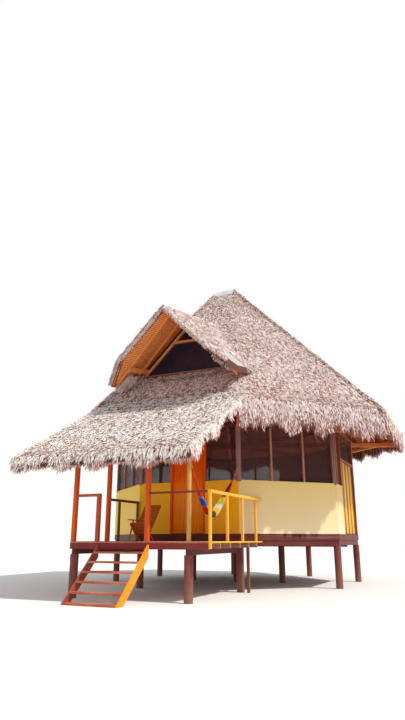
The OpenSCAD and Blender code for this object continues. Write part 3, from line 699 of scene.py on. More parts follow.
class BoardMaker(MeshParts):
    """Collects boards, each a box along any three directions or an upright prism, as one mesh."""

    BOX_FACES = np.array(
        [[0, 3, 2, 1], [4, 5, 6, 7], [0, 1, 5, 4], [1, 2, 6, 5], [2, 3, 7, 6], [3, 0, 4, 7]]
    )

    def prism(self, outline: Sequence[Sequence[float]], z0: float, z1: float) -> None:
        """Adds an upright prism over a plan with four corners, given anticlockwise."""
        points = np.array([(x, y, z) for z in (z0, z1) for x, y in outline])
        self.add(points, [self.BOX_FACES], tone=np.zeros(8))

    def turned(
        self, origin: Array, length: Array, width: Array, height: Array, tone: float = 0.0
    ) -> None:
        """Adds a box that starts at a corner and runs along three vectors.

        Args:
            origin: The corner.
            length: First vector.
            width: Second vector.
            height: Third vector.
            tone: The board's own tone, for a finish that reads it.
        """
        low = [origin, origin + length, origin + length + width, origin + width]
        points = np.array(low + [p + height for p in low])
        if np.dot(np.cross(length, width), height) < 0:
            points = points[[3, 2, 1, 0, 7, 6, 5, 4]]
        self.add(points, [self.BOX_FACES], tone=np.full(8, tone))


def quads(near: Array, far: Array) -> Array:
    """Faces between two grids of point numbers, of which the second lies one column further."""
    return np.stack([near[:-1], far[:-1], far[1:], near[1:]], axis=-1).reshape(-1, 4)


def round_edges(piece: bpy.types.Object, width: float) -> None:
    """Rounds the sharp edges of a piece."""
    bevel = piece.modifiers.new("rounding", "BEVEL")
    bevel.width = width
    bevel.segments = 1
    bevel.limit_method = "ANGLE"
    bevel.angle_limit = math.radians(40)


def place_piece(
    name: str, parts: MeshParts, finish: Finish, stands_for: Sequence[str] = (),
    body: Body = Body.HOUSE, rounding: float = 0.0,
) -> bpy.types.Object:
    """Makes a piece that rides on a body.

    Args:
        name: The piece's name.
        parts: Its points and faces, in the model's frame.
        finish: Its finish.
        stands_for: CAD nodes that it replaces.
        body: The body that it moves with.
        rounding: Width of the rounding of its edges, or 0.

    Returns:
        The piece.
    """
    mesh = parts.mesh(name)
    piece = bpy.data.objects.new(name, mesh)
    bpy.context.scene.collection.objects.link(piece)
    mesh.materials.append(finish.material())
    if rounding > 0:
        round_edges(piece, rounding)
    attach(piece, body.value)
    if stands_for:
        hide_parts(*stands_for)
    LOG.info("%s: %d points, rides on %s", name, len(mesh.vertices), body.value)
    return piece


# Thatch


@dataclass(frozen=True)
class LeafShape:
    """Ranges that leaf strips are drawn from."""

    length: Range = (0.09, 0.2)
    width: Range = (0.018, 0.036)
    lift: Range = (0.004, 0.03)
    droop: Range = (0.0, 0.012)
    swing: float = 0.36
    roll: float = 0.48
    sink: float = 0.01
    tuft: float = 0.06
    gather: float = 0.4


@dataclass(frozen=True)
class FringeShape:
    """How the leaves at an eave hang: dark strips in clumps, which are painted shade inside the fringe,
    under short leaves that turn over the edge.
    """

    reach: Range = (0.46, 0.76)
    thick: float = 0.26
    inner: float = 0.1
    stand: float = 0.03
    width: Range = (0.014, 0.031)
    length: Range = (0.08, 0.2)
    turn_r: float = 0.2
    above: float = 0.5
    end_angle: float = math.radians(93)
    sunk: float = 0.035
    strips: float = 420.0
    strip_clump: float = 0.085
    per_area: float = 1250.0
    leaf_clump: float = 0.1
    most_pull: float = 0.04
    shade: Range = (0.02, 0.34)


class LeafMaker(MeshParts):
    """Lays leaf strips over surfaces and collects them as one mesh."""

    PROUD = 0.075
    ROW_PITCH = 0.085

    def __init__(self, seed: int) -> None:
        super().__init__()
        self.rng = np.random.default_rng(seed)

    def blades(
        self, centres: Array, wide: Array, width: Array, tone: Array, root: float = 0.45
    ) -> None:
        """Adds pointed strips, apart from those that would stand too far out of the CAD box.

        Each strip's left edge is in shade and its right edge is lit, as if it were folded along its rib.

        Args:
            centres: For each strip its root, middle and tip.
            wide: For each strip the direction across it.
            width: For each strip its width at the middle.
            tone: One number a strip, 0 dark to 1 bleached.
            root: Half the width at the root, as a share of the width.
        """
        furthest = SIZES.eave_a + self.PROUD
        inside = np.abs(centres[:, :, 0]).max(axis=1) < furthest
        inside &= centres[:, :, 1].max(axis=1) < furthest
        halves = wide[:, None] * (width[:, None] * np.array([root, 0.5]))[:, :, None]
        centres, halves, tone = centres[inside], halves[inside], tone[inside]
        count = len(centres)
        body = np.stack([centres[:, :-1] - halves, centres[:, :-1] + halves], axis=2)
        points = np.concatenate([body.reshape(count, -1, 3), centres[:, -1:]], axis=1)
        base = (np.arange(count) * 5)[:, None]
        faces = [base + np.array([[0, 1, 3, 2]]), base + np.array([[2, 3, 4]])]
        lit = np.tile([0.0, 0.5, 0.0, 0.5, 1.0], count)
        self.add(points.reshape(-1, 3), faces, tone=np.repeat(tone, 5), lit=lit)

    def lay(
        self, roots: Array, down: Array, normal: Array, shape: LeafShape,
        shift: Array | float = 0.0,
    ) -> None:
        """Lays strips on a surface, each from its root down the surface's fall.

        Args:
            roots: Points on the surface.
            down: Direction of fall, one for all or one a point, of length 1.
            normal: Direction out of the surface, one for all or one a point.
            shape: Ranges for the strips.
            shift: How much paler, or darker below 0, each strip is than usual.
        """
        rng, count = self.rng, len(roots)
        down, normal = (np.broadcast_to(way, roots.shape) for way in (down, normal))
        side = np.cross(down, normal)
        length = rng.uniform(*shape.length, count)
        pull = self.to_clump(np.einsum("ij,ij->i", roots, side), shape.tuft)
        wanted = rng.normal(0, shape.swing, count) + shape.gather * pull / length
        along = down * np.cos(wanted)[:, None] + side * np.sin(wanted)[:, None]
        across = np.cross(normal, along)
        roll = rng.uniform(-shape.roll, shape.roll, count)[:, None]
        wide = across * np.cos(roll) + normal * np.sin(roll)
        width, lift, droop = (rng.uniform(*ends, count) for ends in (shape.width, shape.lift, shape.droop))
        share = np.array([0.0, 0.5, 1.0])
        height = lift[:, None] * share**0.8 - shape.sink * (1 - share)
        centres = (
            roots[:, None]
            + along[:, None] * (length[:, None] * share)[:, :, None]
            + normal[:, None] * height[:, :, None]
        )
        centres[:, :, 2] -= droop[:, None] * share**2
        self.blades(centres, wide, width, self.tones(count) + shift, 0.42)

    def rows(self, low: float, high: float, count: int) -> Array:
        """Random level distances of roots from the centre post, in rows."""
        depth = self.rng.uniform(low, high, count)
        return np.floor(depth / self.ROW_PITCH) * self.ROW_PITCH + self.rng.normal(0.04, 0.024, count)

    def fringe(self, a: Array, b: Array, out: Array, fall: Array, shape: FringeShape) -> None:
        """Hangs a ragged fringe from the edge between two points.

        Args:
            a: Start of the edge.
            b: End of the edge.
            out: Level direction out from the edge.
            fall: Direction down the surface behind the edge.
            shape: Sizes of the fringe.
        """
        length = float(np.linalg.norm(b - a))
        side = (b - a) / length
        self.hang_strips(a, side, length, out, shape)
        self.drape(a, side, length, out, fall, shape)

    def ragged(self, place: Array, shape: FringeShape, fine: float) -> Array:
        """How far the leaves at places along an edge hang under it, `fine` of it by small tufts."""
        share = 0.25 * self.tuft(place, 0.7, 3) + 0.35 * self.tuft(place, 0.23, 5)
        share += 0.2 + fine * (self.tuft(place, 0.08, 7) - 0.5)
        share = np.clip(1.4 * share - 0.2 + self.rng.normal(0, 0.08, len(place)), 0, 1)
        return shape.reach[0] + (shape.reach[1] - shape.reach[0]) * share

    def hang_strips(
        self, a: Array, side: Array, length: float, out: Array, shape: FringeShape
    ) -> None:
        """Hangs the long dark strips at the cut edge, which show between the pale ones over them. Their dark
        tones, darker the deeper their layer, are painted shade inside the fringe.
        """
        rng = self.rng
        count = int(shape.strips * length)
        place = rng.uniform(0, length, count)
        layer = rng.uniform(0, 1, count)
        start = 0.03 + (shape.thick - 0.03) * layer
        drop = np.maximum(self.ragged(place, shape, 0.15) - 0.01 - start, 0.1)
        pull = self.to_clump(place, shape.strip_clump, shape.most_pull) + rng.normal(0, 0.02, count)
        inset = 0.03 + shape.inner * layer
        edge = a + place[:, None] * side - out * inset[:, None] + DOWN * start[:, None]
        stand = shape.stand * rng.uniform(0, 1, count) * (1 - layer)
        stand, drop, pull = stand[:, None], drop[:, None], pull[:, None]
        mid, tip = (
            edge + out * (stand * far) + DOWN * (drop * low) + side * (pull * aside)
            for far, low, aside in ((0.8, 0.5, 0.4), (1.0, 1.0, 1.0))
        )
        turn = rng.uniform(-0.9, 0.9, count)[:, None]
        wide = side * np.cos(turn) + out * np.sin(turn)
        width = rng.uniform(*shape.width, count)
        # Painted shade: the strips' tones are held dark, and darker the deeper their layer.
        self.blades(np.stack([edge, mid, tip], axis=1), wide, width, 0.38 * self.tones(count) - 0.15 * layer)

    def drape(
        self, a: Array, side: Array, length: float, out: Array, fall: Array,
        shape: FringeShape,
    ) -> None:
        """Lays short leaves down over the edge, round it and along its cut face."""
        rng = self.rng
        pitch = math.atan2(-float(fall[2]), float(fall @ out))
        run = np.linspace(-0.4, 1.0, 281)
        edge_step = 80
        bend = pitch + np.clip(run / shape.turn_r, 0, shape.end_angle - pitch)
        paths = np.cumsum(np.cos(bend)), np.cumsum(np.sin(bend))
        steps_out, steps_down = ((path - path[edge_step]) * (run[1] - run[0]) for path in paths)
        count = int(shape.per_area * length * (shape.reach[1] + shape.above))
        place = rng.uniform(0, length, count)
        reach = self.ragged(place, shape, 0.55)
        size = rng.uniform(*shape.length, count)
        start = -shape.above + (reach + shape.above - 0.75 * size) * rng.beta(1.0, 1.15, count)
        swing = rng.normal(0, 0.3, count)
        pull = self.to_clump(place, shape.leaf_clump, shape.most_pull)
        lift = rng.uniform(0.004, 0.034, count)
        centres = []
        for share in (0.0, 0.5, 1.0):
            at = start + share * size * np.cos(swing)
            angle, level, low = (np.interp(at, run, path) for path in (bend, steps_out, steps_down))
            proud = lift * share - 0.02 * (1 - share)
            level = level + proud * np.sin(angle) - shape.sunk * np.clip(at / 0.1, 0, 1)
            low = low - proud * np.cos(angle)
            along = place + share * (size * np.sin(swing) + 0.6 * pull)
            centres.append(a + along[:, None] * side + level[:, None] * out + low[:, None] * DOWN)
        roll = rng.uniform(-0.7, 0.7, count)[:, None]
        lean = np.cos(swing)[:, None] * side - np.sin(swing)[:, None] * DOWN
        wide = lean * np.cos(roll) + out * np.sin(roll)
        width = rng.uniform(*shape.width, count)
        shadow = rng.uniform(0, 1, count) < 0.6 * np.clip(2 * start / reach - 0.5, 0, 1)
        tone = np.where(shadow, rng.uniform(*shape.shade, count), self.tones(count))
        self.blades(np.stack(centres, axis=1), wide, width, tone)

    @staticmethod
    def to_clump(place: Array, wide: float, most: float = math.inf) -> Array:
        """Way from each place to the middle of the clump that it belongs to, at the most so far."""
        return np.clip((np.floor(place / wide) + 0.5) * wide - place, -most, most)

    @staticmethod
    def tuft(place: Array, wide: float, seed: int) -> Array:
        """Random length of the tuft at each place, 0 to 1, which changes smoothly from tuft to tuft."""
        table = np.random.default_rng(seed).uniform(0, 1, 512)
        at = place / wide
        low = np.floor(at).astype(int)
        share = at - low
        share = share * share * (3 - 2 * share)
        return table[low % 512] * (1 - share) + table[(low + 1) % 512] * share

    def tones(self, count: int) -> Array:
        """Random tones of strips, most of them pale and some dark."""
        pale = 0.3 + 0.7 * self.rng.beta(1.9, 1.5, count)
        dark = self.rng.uniform(0, 0.22, count)
        return np.where(self.rng.uniform(0, 1, count) < 0.17, dark, pale)


@dataclass
class MainRoof:
    """The eight-sided thatched roof: loose leaves over each side, its hips and its eaves."""

    sizes: Sizes
    leaves: Finish
    per_area: float = 1400.0
    per_hip_length: float = 380.0
    under_dormer: Range = (-3.86, -1.2)
    cap_right: float = -0.14
    top_shade: float = 0.26
    top_shade_from: float = 7.9
    top_shade_over: float = 1.2

    def build(self) -> None:
        """Builds the leaves of every side, hip and eave."""
        names = ("front", "front_right", "right", "back_right", "back", "back_left", "left", "front_left")
        for k, name in enumerate(names):
            maker = LeafMaker(100 + k)
            self.cover_side(k, maker)
            self.cover_hip(k, maker)
            place_piece(f"leaves_{name}", maker, self.leaves)
        self.hang_eaves()

    def cover_side(self, k: int, maker: LeafMaker) -> None:
        """Lays leaves in rows over side k, apart from where the dormer covers it.

        The leaves near the top of the two sides right of the front are darker, as painted shade.
        """
        s, rng = self.sizes, maker.rng
        out, side = (way[:2] for way in s.ways(k))
        half = s.eave_half
        count = int(self.per_area * s.eave_a * 2 * half * math.hypot(1, s.slope(k)))
        depth = np.maximum(maker.rows(-0.1, s.eave_a, count), -0.3)
        along = rng.uniform(-half, half, count)
        plan = depth[:, None] * out + along[:, None] * side
        corners = [s.apex(k), s.corner(s.eave_r, k), s.corner(s.eave_r, k + 1), s.apex(k + 1)]
        keep = depth < s.eave_a - rng.uniform(0.08, 0.5, count)
        for a, b in zip(corners, corners[1:] + corners[:1]):
            edge = b - a
            if np.hypot(*edge) > 1e-6:
                gap = (edge[0] * (plan[:, 1] - a[1]) - edge[1] * (plan[:, 0] - a[0])) / np.hypot(*edge)
                keep &= gap > -0.03
        z = s.height(k, plan)
        under = (s.dormer_height(plan) > z - 0.03) & (np.abs(plan[:, 0] - s.dormer_x) < s.dormer_half)
        keep &= ~(under & (plan[:, 1] > self.under_dormer[0]) & (plan[:, 1] < self.under_dormer[1]))
        keep &= ~self.on_cap(plan)
        roots = np.column_stack([plan, z])[keep]
        # Painted shade: leaves high on the two sides right of the front are darkened.
        upper = np.clip((roots[:, 2] - self.top_shade_from) / self.top_shade_over, 0, 1)
        maker.lay(roots, *s.plane(k), LeafShape(), -self.top_shade * upper if k in (1, 2) else 0.0)

    def on_cap(self, plan: Array) -> Array:
        """Whether leaves that start at points in plan would hide the pale cap on the ridge."""
        s = self.sizes
        level = (plan[:, 0] > s.ridge_x0 - 0.02) & (plan[:, 0] < self.cap_right)
        return (np.abs(plan[:, 1]) < 0.6 * s.cap_w) & level

    def cover_hip(self, k: int, maker: LeafMaker) -> None:
        """Lays leaves along the hip at corner k, so that no straight edge shows."""
        s, rng = self.sizes, maker.rng
        top = np.array([*s.apex(k), s.ridge_z])
        foot = np.array([*s.corner(s.eave_r, k), s.eave_z])
        length = float(np.linalg.norm(foot - top))
        count = int(length * self.per_hip_length)
        share = rng.uniform(0.012, 1, count)
        fall = (foot - top) / length
        level = unit(np.array([-fall[1], fall[0], 0.0]))
        normal = np.cross(fall, level)
        normal *= np.sign(normal[2])
        side = rng.uniform(-0.1, 0.1, count)
        roots = top + share[:, None] * (foot - top) + side[:, None] * level
        roots[:, 2] -= np.abs(side) * 0.36
        plan = roots[:, :2]
        keep = ~self.on_cap(plan)
        if k in (0, 1):
            keep &= (s.dormer_height(plan) <= roots[:, 2] - 0.03) | (plan[:, 1] <= self.under_dormer[0])
        fan = unit(fall + level * (side[keep] * 6.0)[:, None])
        maker.lay(roots[keep], fan, normal, LeafShape(sink=0.02, lift=(0.0, 0.035)))

    def hang_eaves(self) -> None:
        """Hangs ragged leaves over the eaves of the seven sides that the porch leaves free."""
        s = self.sizes
        maker = LeafMaker(31)
        for k in range(1, 8):
            a, b = (np.array([*s.corner(s.eave_r, n), s.eave_z]) for n in (k, k + 1))
            reach = (0.52, 0.88) if k == 1 else (0.36, 0.66)
            maker.fringe(a, b, s.ways(k)[0], s.plane(k)[0], FringeShape(reach=reach))
        place_piece("leaves_eaves", maker, self.leaves, ["eave_fringe"])


@dataclass
class PorchRoof:
    """The thatch over the porch, with its ragged front and side edges."""

    sizes: Sizes
    leaves: Finish
    per_area: float = 1400.0
    run: float = 2.02
    width: float = 4.4
    overlap: float = 0.2

    def build(self) -> None:
        """Builds the leaves on top and the fringe of all three edges."""
        s = self.sizes
        maker = LeafMaker(41)
        rng = maker.rng
        count = int(self.per_area * self.run * self.width * math.hypot(1, s.porch_slope))
        depth = maker.rows(s.eave_a - self.overlap, s.porch_eave_y, count)
        depth = depth[depth < s.porch_eave_y - rng.uniform(0.08, 0.5, count)]
        depth = np.maximum(depth, s.eave_a - self.overlap)
        share = rng.uniform(0, 1, len(depth))
        left, right = s.porch_edge(-1, depth), s.porch_edge(1, depth)
        on_main = s.eave_z + (s.eave_a - depth) * (s.ridge_z - s.eave_z) / s.eave_a
        z = np.where(depth < s.eave_a, on_main, s.eave_z - s.porch_slope * (depth - s.eave_a))
        roots = np.column_stack([left + share * (right - left), -depth, z])
        maker.lay(roots, *s.porch_plane(), LeafShape(), 0.2)
        place_piece("leaves_porch", maker, self.leaves)
        self.hang_edges()

    def hang_edges(self) -> None:
        """Hangs the porch's fringe over its front edge and its two side edges."""
        s = self.sizes
        maker = LeafMaker(43)
        ends = ((s.eave_a, s.eave_z), (s.porch_eave_y, s.porch_eave_z))
        left, right = ([np.array([s.porch_edge(sign, y), -y, z]) for y, z in ends] for sign in (-1, 1))
        front = FringeShape(reach=(0.22, 0.48), thick=0.2)
        maker.fringe(left[1], right[1], np.array([0.0, -1.0, 0.0]), s.porch_plane()[0], front)
        for sign, (a, b) in ((-1, left), (1, right)):
            run = b - a
            out = unit(np.array([-run[1], run[0], 0.0]) * sign)
            maker.fringe(a, b, out, out, FringeShape(reach=(0.14, 0.54), thick=0.2, turn_r=0.1, above=0.2))
        place_piece("leaves_porch_fringe", maker, self.leaves, ["porch_fringe"])


@dataclass
class Dormer:
    """The gabled dormer: leaves on its two slopes, its ragged verge and the rods under its leaves."""

    sizes: Sizes
    leaves: Finish
    rods: Finish
    per_area: float = 1400.0
    ridge_length: float = 3.6
    rod_pitch: float = 0.052
    rod_wide: float = 0.038
    rod_thick: float = 0.01

    def frame(self, sign: int) -> tuple[Array, Array, Array, Array]:
        """Front end of the ridge, then the directions along the ridge, down the slope and out of it."""
        s = self.sizes
        pitch = math.atan(s.dormer_rise)
        tilt = math.atan(s.dormer_fall * math.cos(pitch))
        start = np.array([s.dormer_x, -s.dormer_front_y, s.dormer_front_z])
        ridge = np.array([0.0, math.cos(pitch), math.sin(pitch)])
        up = np.array([0.0, -math.sin(pitch), math.cos(pitch)])
        level = np.array([float(sign), 0.0, 0.0])
        down = level * math.cos(tilt) - up * math.sin(tilt)
        return start, ridge, down, level * math.sin(tilt) + up * math.cos(tilt)

    def front_edge(self, reach: Array) -> Array:
        """Distance of the verge from the centre post at a level distance from the ridge."""
        s = self.sizes
        share = np.clip((reach - s.dormer_verge) / (s.dormer_half - s.dormer_verge), 0, 1)
        return s.dormer_front_y - share * (s.dormer_front_y - s.dormer_corner_y)

    def on_slope(
        self, sign: int, reach: Array, y: Array, drop: Array | float = 0.0
    ) -> Array:
        """Points of one slope, at a level distance from the ridge and a drop under its top face."""
        plan = np.column_stack([self.sizes.dormer_x + sign * reach, y])
        top = np.column_stack([plan, self.sizes.dormer_height(plan)])
        return top - self.frame(sign)[3] * np.reshape(drop, (-1, 1))

    def on_sheet(self, sign: int, reach: Array, y: Array) -> Array:
        """Whether leaves that start at these places would hide the pale sheet at the right low corner."""
        s = self.sizes
        level = (y > -s.dormer_corner_y - 0.2) & (y < -s.dormer_corner_y + 0.55)
        return (reach > s.dormer_verge + 0.08) & level & (sign > 0)

    def build(self) -> None:
        """Builds both slopes, the verge and the rods."""
        maker = LeafMaker(51)
        for sign in (-1, 1):
            self.cover_slope(sign, maker)
            self.cover_verge(sign, maker)
            self.cover_side_edge(sign, maker)
        self.cover_ridge(maker)
        self.hang_corners(maker)
        place_piece("leaves_dormer", maker, self.leaves)
        self.lay_rods()

    def cover_slope(self, sign: int, maker: LeafMaker) -> None:
        """Lays leaves over one slope."""
        s, rng = self.sizes, maker.rng
        _, ridge, down, normal = self.frame(sign)
        count = int(self.per_area * 2.5 * 4.2)
        reach = rng.uniform(0, s.dormer_half, count)
        y = rng.uniform(-s.dormer_front_y, -1.3, count)
        roots = self.on_slope(sign, reach, y)
        keep = (y > -self.front_edge(reach) + 0.01) & (roots[:, 2] > s.lowest(roots[:, :2]) - 0.02)
        keep &= ~self.on_sheet(sign, reach, y)
        fall = unit(down - ridge * s.dormer_rise * 0.5)
        maker.lay(roots[keep], fall, normal, LeafShape(lift=(0.006, 0.035)))

    def cover_verge(self, sign: int, maker: LeafMaker) -> None:
        """Covers the cut edge of one slope with short leaves that point out and down.

        A layer is its depth under the top face, its leaves a metre, how much darker they are as painted
        shade under the layers above, the ranges of their length and droop, and how near to the apex it
        starts. The top one leans forward.
        """
        s, rng = self.sizes, maker.rng
        _, ridge, down, normal = self.frame(sign)
        layers = (
            (0.0, 620, 0.0, (0.07, 0.19), (0.02, 0.08), 0.0),
            (0.02, 340, 0.0, (0.06, 0.12), (0.0, 0.03), 0.0),
            (0.055, 340, 0.1, (0.04, 0.09), (0.0, 0.03), 0.25),
            (0.08, 300, 0.25, (0.03, 0.06), (0.0, 0.03), 0.5),
        )
        for drop, per_length, darker, length, droop, nearest in layers:
            top = drop == 0
            count = int(per_length * 2.6)
            reach = s.dormer_half * rng.uniform(0, 1, count)
            y = -self.front_edge(reach) + (rng.uniform(0.0, 0.05, count) if top else -0.006)
            free = ~self.on_sheet(sign, reach, y) & (reach > nearest)
            reach, y = reach[free], y[free]
            outward = rng.uniform(0.1, 0.75, len(y)) if top else np.zeros(len(y))
            fall = unit(down * 0.8 - ridge * outward[:, None] - normal * (0.0 if top else 0.25))
            shape = LeafShape(length, (0.014, 0.03), (0.0, 0.03), droop, swing=0.45, sink=0.0)
            # Painted shade: the deeper layers get darker tones.
            maker.lay(self.on_slope(sign, reach, y, drop), fall, normal if top else -ridge, shape, -darker)

    def cover_side_edge(self, sign: int, maker: LeafMaker) -> None:
        """Covers the low side edge of one slope, as far back as it stands clear of the main roof."""
        s, rng = self.sizes, maker.rng
        _, _, down, normal = self.frame(sign)
        y = np.linspace(-s.dormer_corner_y, -3.4, 40)
        line = self.on_slope(sign, np.full(40, s.dormer_half), y)
        clear = y[line[:, 2] - 0.1 > s.lowest(line[:, :2])]
        y = rng.uniform(clear.min(), clear.max(), 420)
        y = y[~self.on_sheet(sign, np.full(420, s.dormer_half), y)]
        roots = self.on_slope(sign, np.full(len(y), s.dormer_half - 0.02), y, rng.uniform(0, 0.1, len(y)))
        shape = LeafShape((0.08, 0.2), (0.012, 0.028), (-0.01, 0.03), swing=0.3, sink=0.0)
        maker.lay(roots, down, normal, shape)

    def cover_ridge(self, maker: LeafMaker) -> None:
        """Lays leaves over the dormer's ridge to both sides."""
        rng, count = maker.rng, 1500
        start, ridge, _, _ = self.frame(1)
        roots = start + rng.uniform(-0.02, self.ridge_length, count)[:, None] * ridge
        roots[:, 2] += 0.012
        keep = roots[:, 2] > self.sizes.lowest(roots[:, :2]) - 0.05
        for sign in (-1, 1):
            part = roots[keep & (rng.uniform(0, 1, count) < 0.5)]
            maker.lay(part, *self.frame(sign)[2:], LeafShape(sink=0.0, lift=(0.0, 0.03)))

    def hang_corners(self, maker: LeafMaker) -> None:
        """Hangs loose leaf ends under both low corners and lays some before the gable's sill. Those under
        the right corner are darkened as painted shadow under the sheet.
        """
        s, rng = self.sizes, maker.rng
        _, _, down, normal = self.frame(-1)
        count = 520
        reach = s.dormer_half - 0.36 * rng.beta(1.0, 1.6, count)
        y = rng.uniform(-s.dormer_corner_y + 0.02, -3.8, count)
        roots = self.on_slope(-1, reach, y, rng.uniform(0.2, 0.26, count))
        fall = unit(down * 0.9 + np.array([0.0, -0.25, -0.35]))
        maker.lay(roots, fall, -normal, LeafShape((0.1, 0.24), lift=(0.0, 0.03), roll=0.7, sink=0.0), 0.1)
        # Painted shadow: brown leaf ends under the right low corner, darkened by 0.35 as the shade under the
        # sheet.
        count = 150
        reach = rng.uniform(1.34, 1.66, count)
        y = -self.front_edge(reach) + rng.uniform(0.0, 0.14, count)
        roots = self.on_slope(1, reach, y, rng.uniform(0.1, 0.2, count))
        shape = LeafShape((0.05, 0.12), lift=(0.0, 0.02), roll=0.7, swing=0.3, sink=0.0)
        maker.lay(roots, np.array([0.3, -0.2, -0.93]), np.array([0.0, -0.98, 0.2]), shape, -0.35)
        count = 900
        x, y = rng.uniform(-1.1, 1.4, count), rng.normal(-4.0, 0.035, count)
        roots = np.column_stack([x, y, rng.normal(5.22, 0.03, count)])
        shape = LeafShape((0.1, 0.17), lift=(0.0, 0.05), roll=0.9, sink=0.0)
        maker.lay(roots, np.array([0.0, -0.81, -0.58]), s.plane(0)[1], shape)

    def lay_rods(self) -> None:
        """Lays the palm rods that carry the leaves, close under both slopes."""
        s = self.sizes
        boards = BoardMaker()
        under = s.dormer_thatch + s.dormer_board_t
        for sign in (-1, 1):
            start, ridge, down, normal = self.frame(sign)
            slant = s.dormer_half / abs(down[0]) - 0.03
            for i in range(int(slant / self.rod_pitch)):
                low = 0.02 + i * self.rod_pitch
                front = self.front_edge((low + self.rod_wide) * abs(down[0])) - 0.03
                along = (s.dormer_front_y - front - down[1] * low) / ridge[1]
                steps = np.linspace(along, 3.9, 80)
                line = start + down * low + steps[:, None] * ridge - normal * under
                clear = line[:, 2] > s.lowest(line[:, :2]) + 0.01
                if not clear[0]:
                    continue
                end = steps[-1] if clear.all() else steps[np.argmin(clear)]
                origin = start + down * low + ridge * along - normal * (under - 0.002)
                boards.turned(origin, ridge * (end - along), down * self.rod_wide, normal * self.rod_thick)
        place_piece("dormer_rods", boards, self.rods, ["dormer_boards"])


# Boards


@dataclass
class Floors:
    """The deck's boards and the house's floor boards, laid one by one."""

    sizes: Sizes
    deck_finish: Finish
    house_finish: Finish
    deck_board: float = 0.118
    house_board: float = 0.14
    gap: float = 0.005
    rounding: float = 0.002

    def build(self) -> None:
        """Builds both floors."""
        self.lay_deck()
        self.lay_house()

    def strips(self, low: float, high: float, board: float) -> Iterable[Range]:
        """Edges of the boards that fill a width, each about one board wide with a gap to the next."""
        count = round((high - low) / board)
        pitch = (high - low) / count
        for i in range(count):
            yield low + i * pitch + self.gap / 2, low + (i + 1) * pitch - self.gap / 2

    def lay_deck(self) -> None:
        """Lays the deck's boards from front to back over its joists, with uneven ends and heights."""
        s = self.sizes
        rng = np.random.default_rng(5)
        boards = BoardMaker()
        back = -s.wall_a - 0.0006
        for x0, x1 in self.strips(s.deck_x0, s.deck_x1, self.deck_board):
            front = s.deck_y0 - float(rng.uniform(0.0, 0.006))
            lift = float(rng.uniform(-0.0015, 0.0))
            outline = [(x0, front), (x1, front), (x1, back), (x0, back)]
            boards.prism(outline, s.deck_z - s.deck_t, s.deck_z + lift)
        place_piece(
            "deck_boards", boards, self.deck_finish, ["deck_floor"], rounding=self.rounding
        )

    def lay_house(self) -> None:
        """Lays the house's boards across its joists, cut to the octagon."""
        s = self.sizes
        inner = s.wall_a - s.wall_depth
        boards = BoardMaker()
        for y0, y1 in self.strips(-inner, inner, self.house_board):
            near, far = (min(inner, inner * math.sqrt(2) - abs(y)) for y in (y0, y1))
            boards.prism([(-near, y0), (near, y0), (far, y1), (-far, y1)], s.floor_z - s.floor_t, s.floor_z)
        place_piece(
            "house_boards", boards, self.house_finish, ["house_floor"], rounding=self.rounding
        )


@dataclass
class DoorSkins:
    """Upright boards on the outer face of each door leaf.

    Those of the side doors are a broad and a narrow one in turn, of which the narrow one is brown.
    """

    sizes: Sizes
    front: Finish
    side: Finish
    board: float = 0.105
    side_board: float = 0.22
    narrow: float = 0.4
    gap: float = 0.005
    skin_t: float = 0.004
    stop: float = 0.016

    def build(self) -> None:
        """Builds the boards of the three leaves."""
        s = self.sizes
        gap, half, middle = s.leaf_gap, s.front_door_w / 2, s.side_x0 + s.side_door_w / 2
        for body, k, finish, x0, x1 in (
            (Body.FRONT_DOOR, 0, self.front, gap - half, half - gap),
            (Body.SIDE_DOOR_LEFT, 2, self.side, s.side_x0 + gap, middle - gap / 2),
            (Body.SIDE_DOOR_RIGHT, 2, self.side, middle + gap / 2, s.side_x1 - gap),
        ):
            boards = self.cover_leaf(k, x0 + self.stop, x1 - self.stop)
            place_piece(f"{body.value}_boards", boards, finish, body=body, rounding=0.0015)

    def cover_leaf(self, k: int, left: float, right: float) -> BoardMaker:
        """Makes the boards of one leaf.

        Args:
            k: The wall side that the leaf is in.
            left: Left edge of the boards along its wall.
            right: Right edge of the boards.

        Returns:
            The boards.
        """
        s = self.sizes
        boards = BoardMaker()
        low, high = s.floor_z + 0.012, s.floor_z + s.door_height - s.leaf_gap - 0.002
        upright = -DOWN * (high - self.stop - low)
        count = round((right - left) / (self.board if k == 0 else self.side_board))
        pitch = (right - left) / count
        out, side = s.ways(k)
        narrow = 0.5 if k == 0 else self.narrow
        for i in range(count):
            start = left + (i + (0.5 - narrow) * (i % 2) * 2) * pitch + self.gap / 2
            wide = 2 * pitch * (narrow if i % 2 else 1 - narrow) - self.gap
            origin = s.on_wall(k, start, s.wall_depth - s.leaf_t, low)
            boards.turned(origin, side * wide, out * self.skin_t, upright, float(i % 2))
        return boards


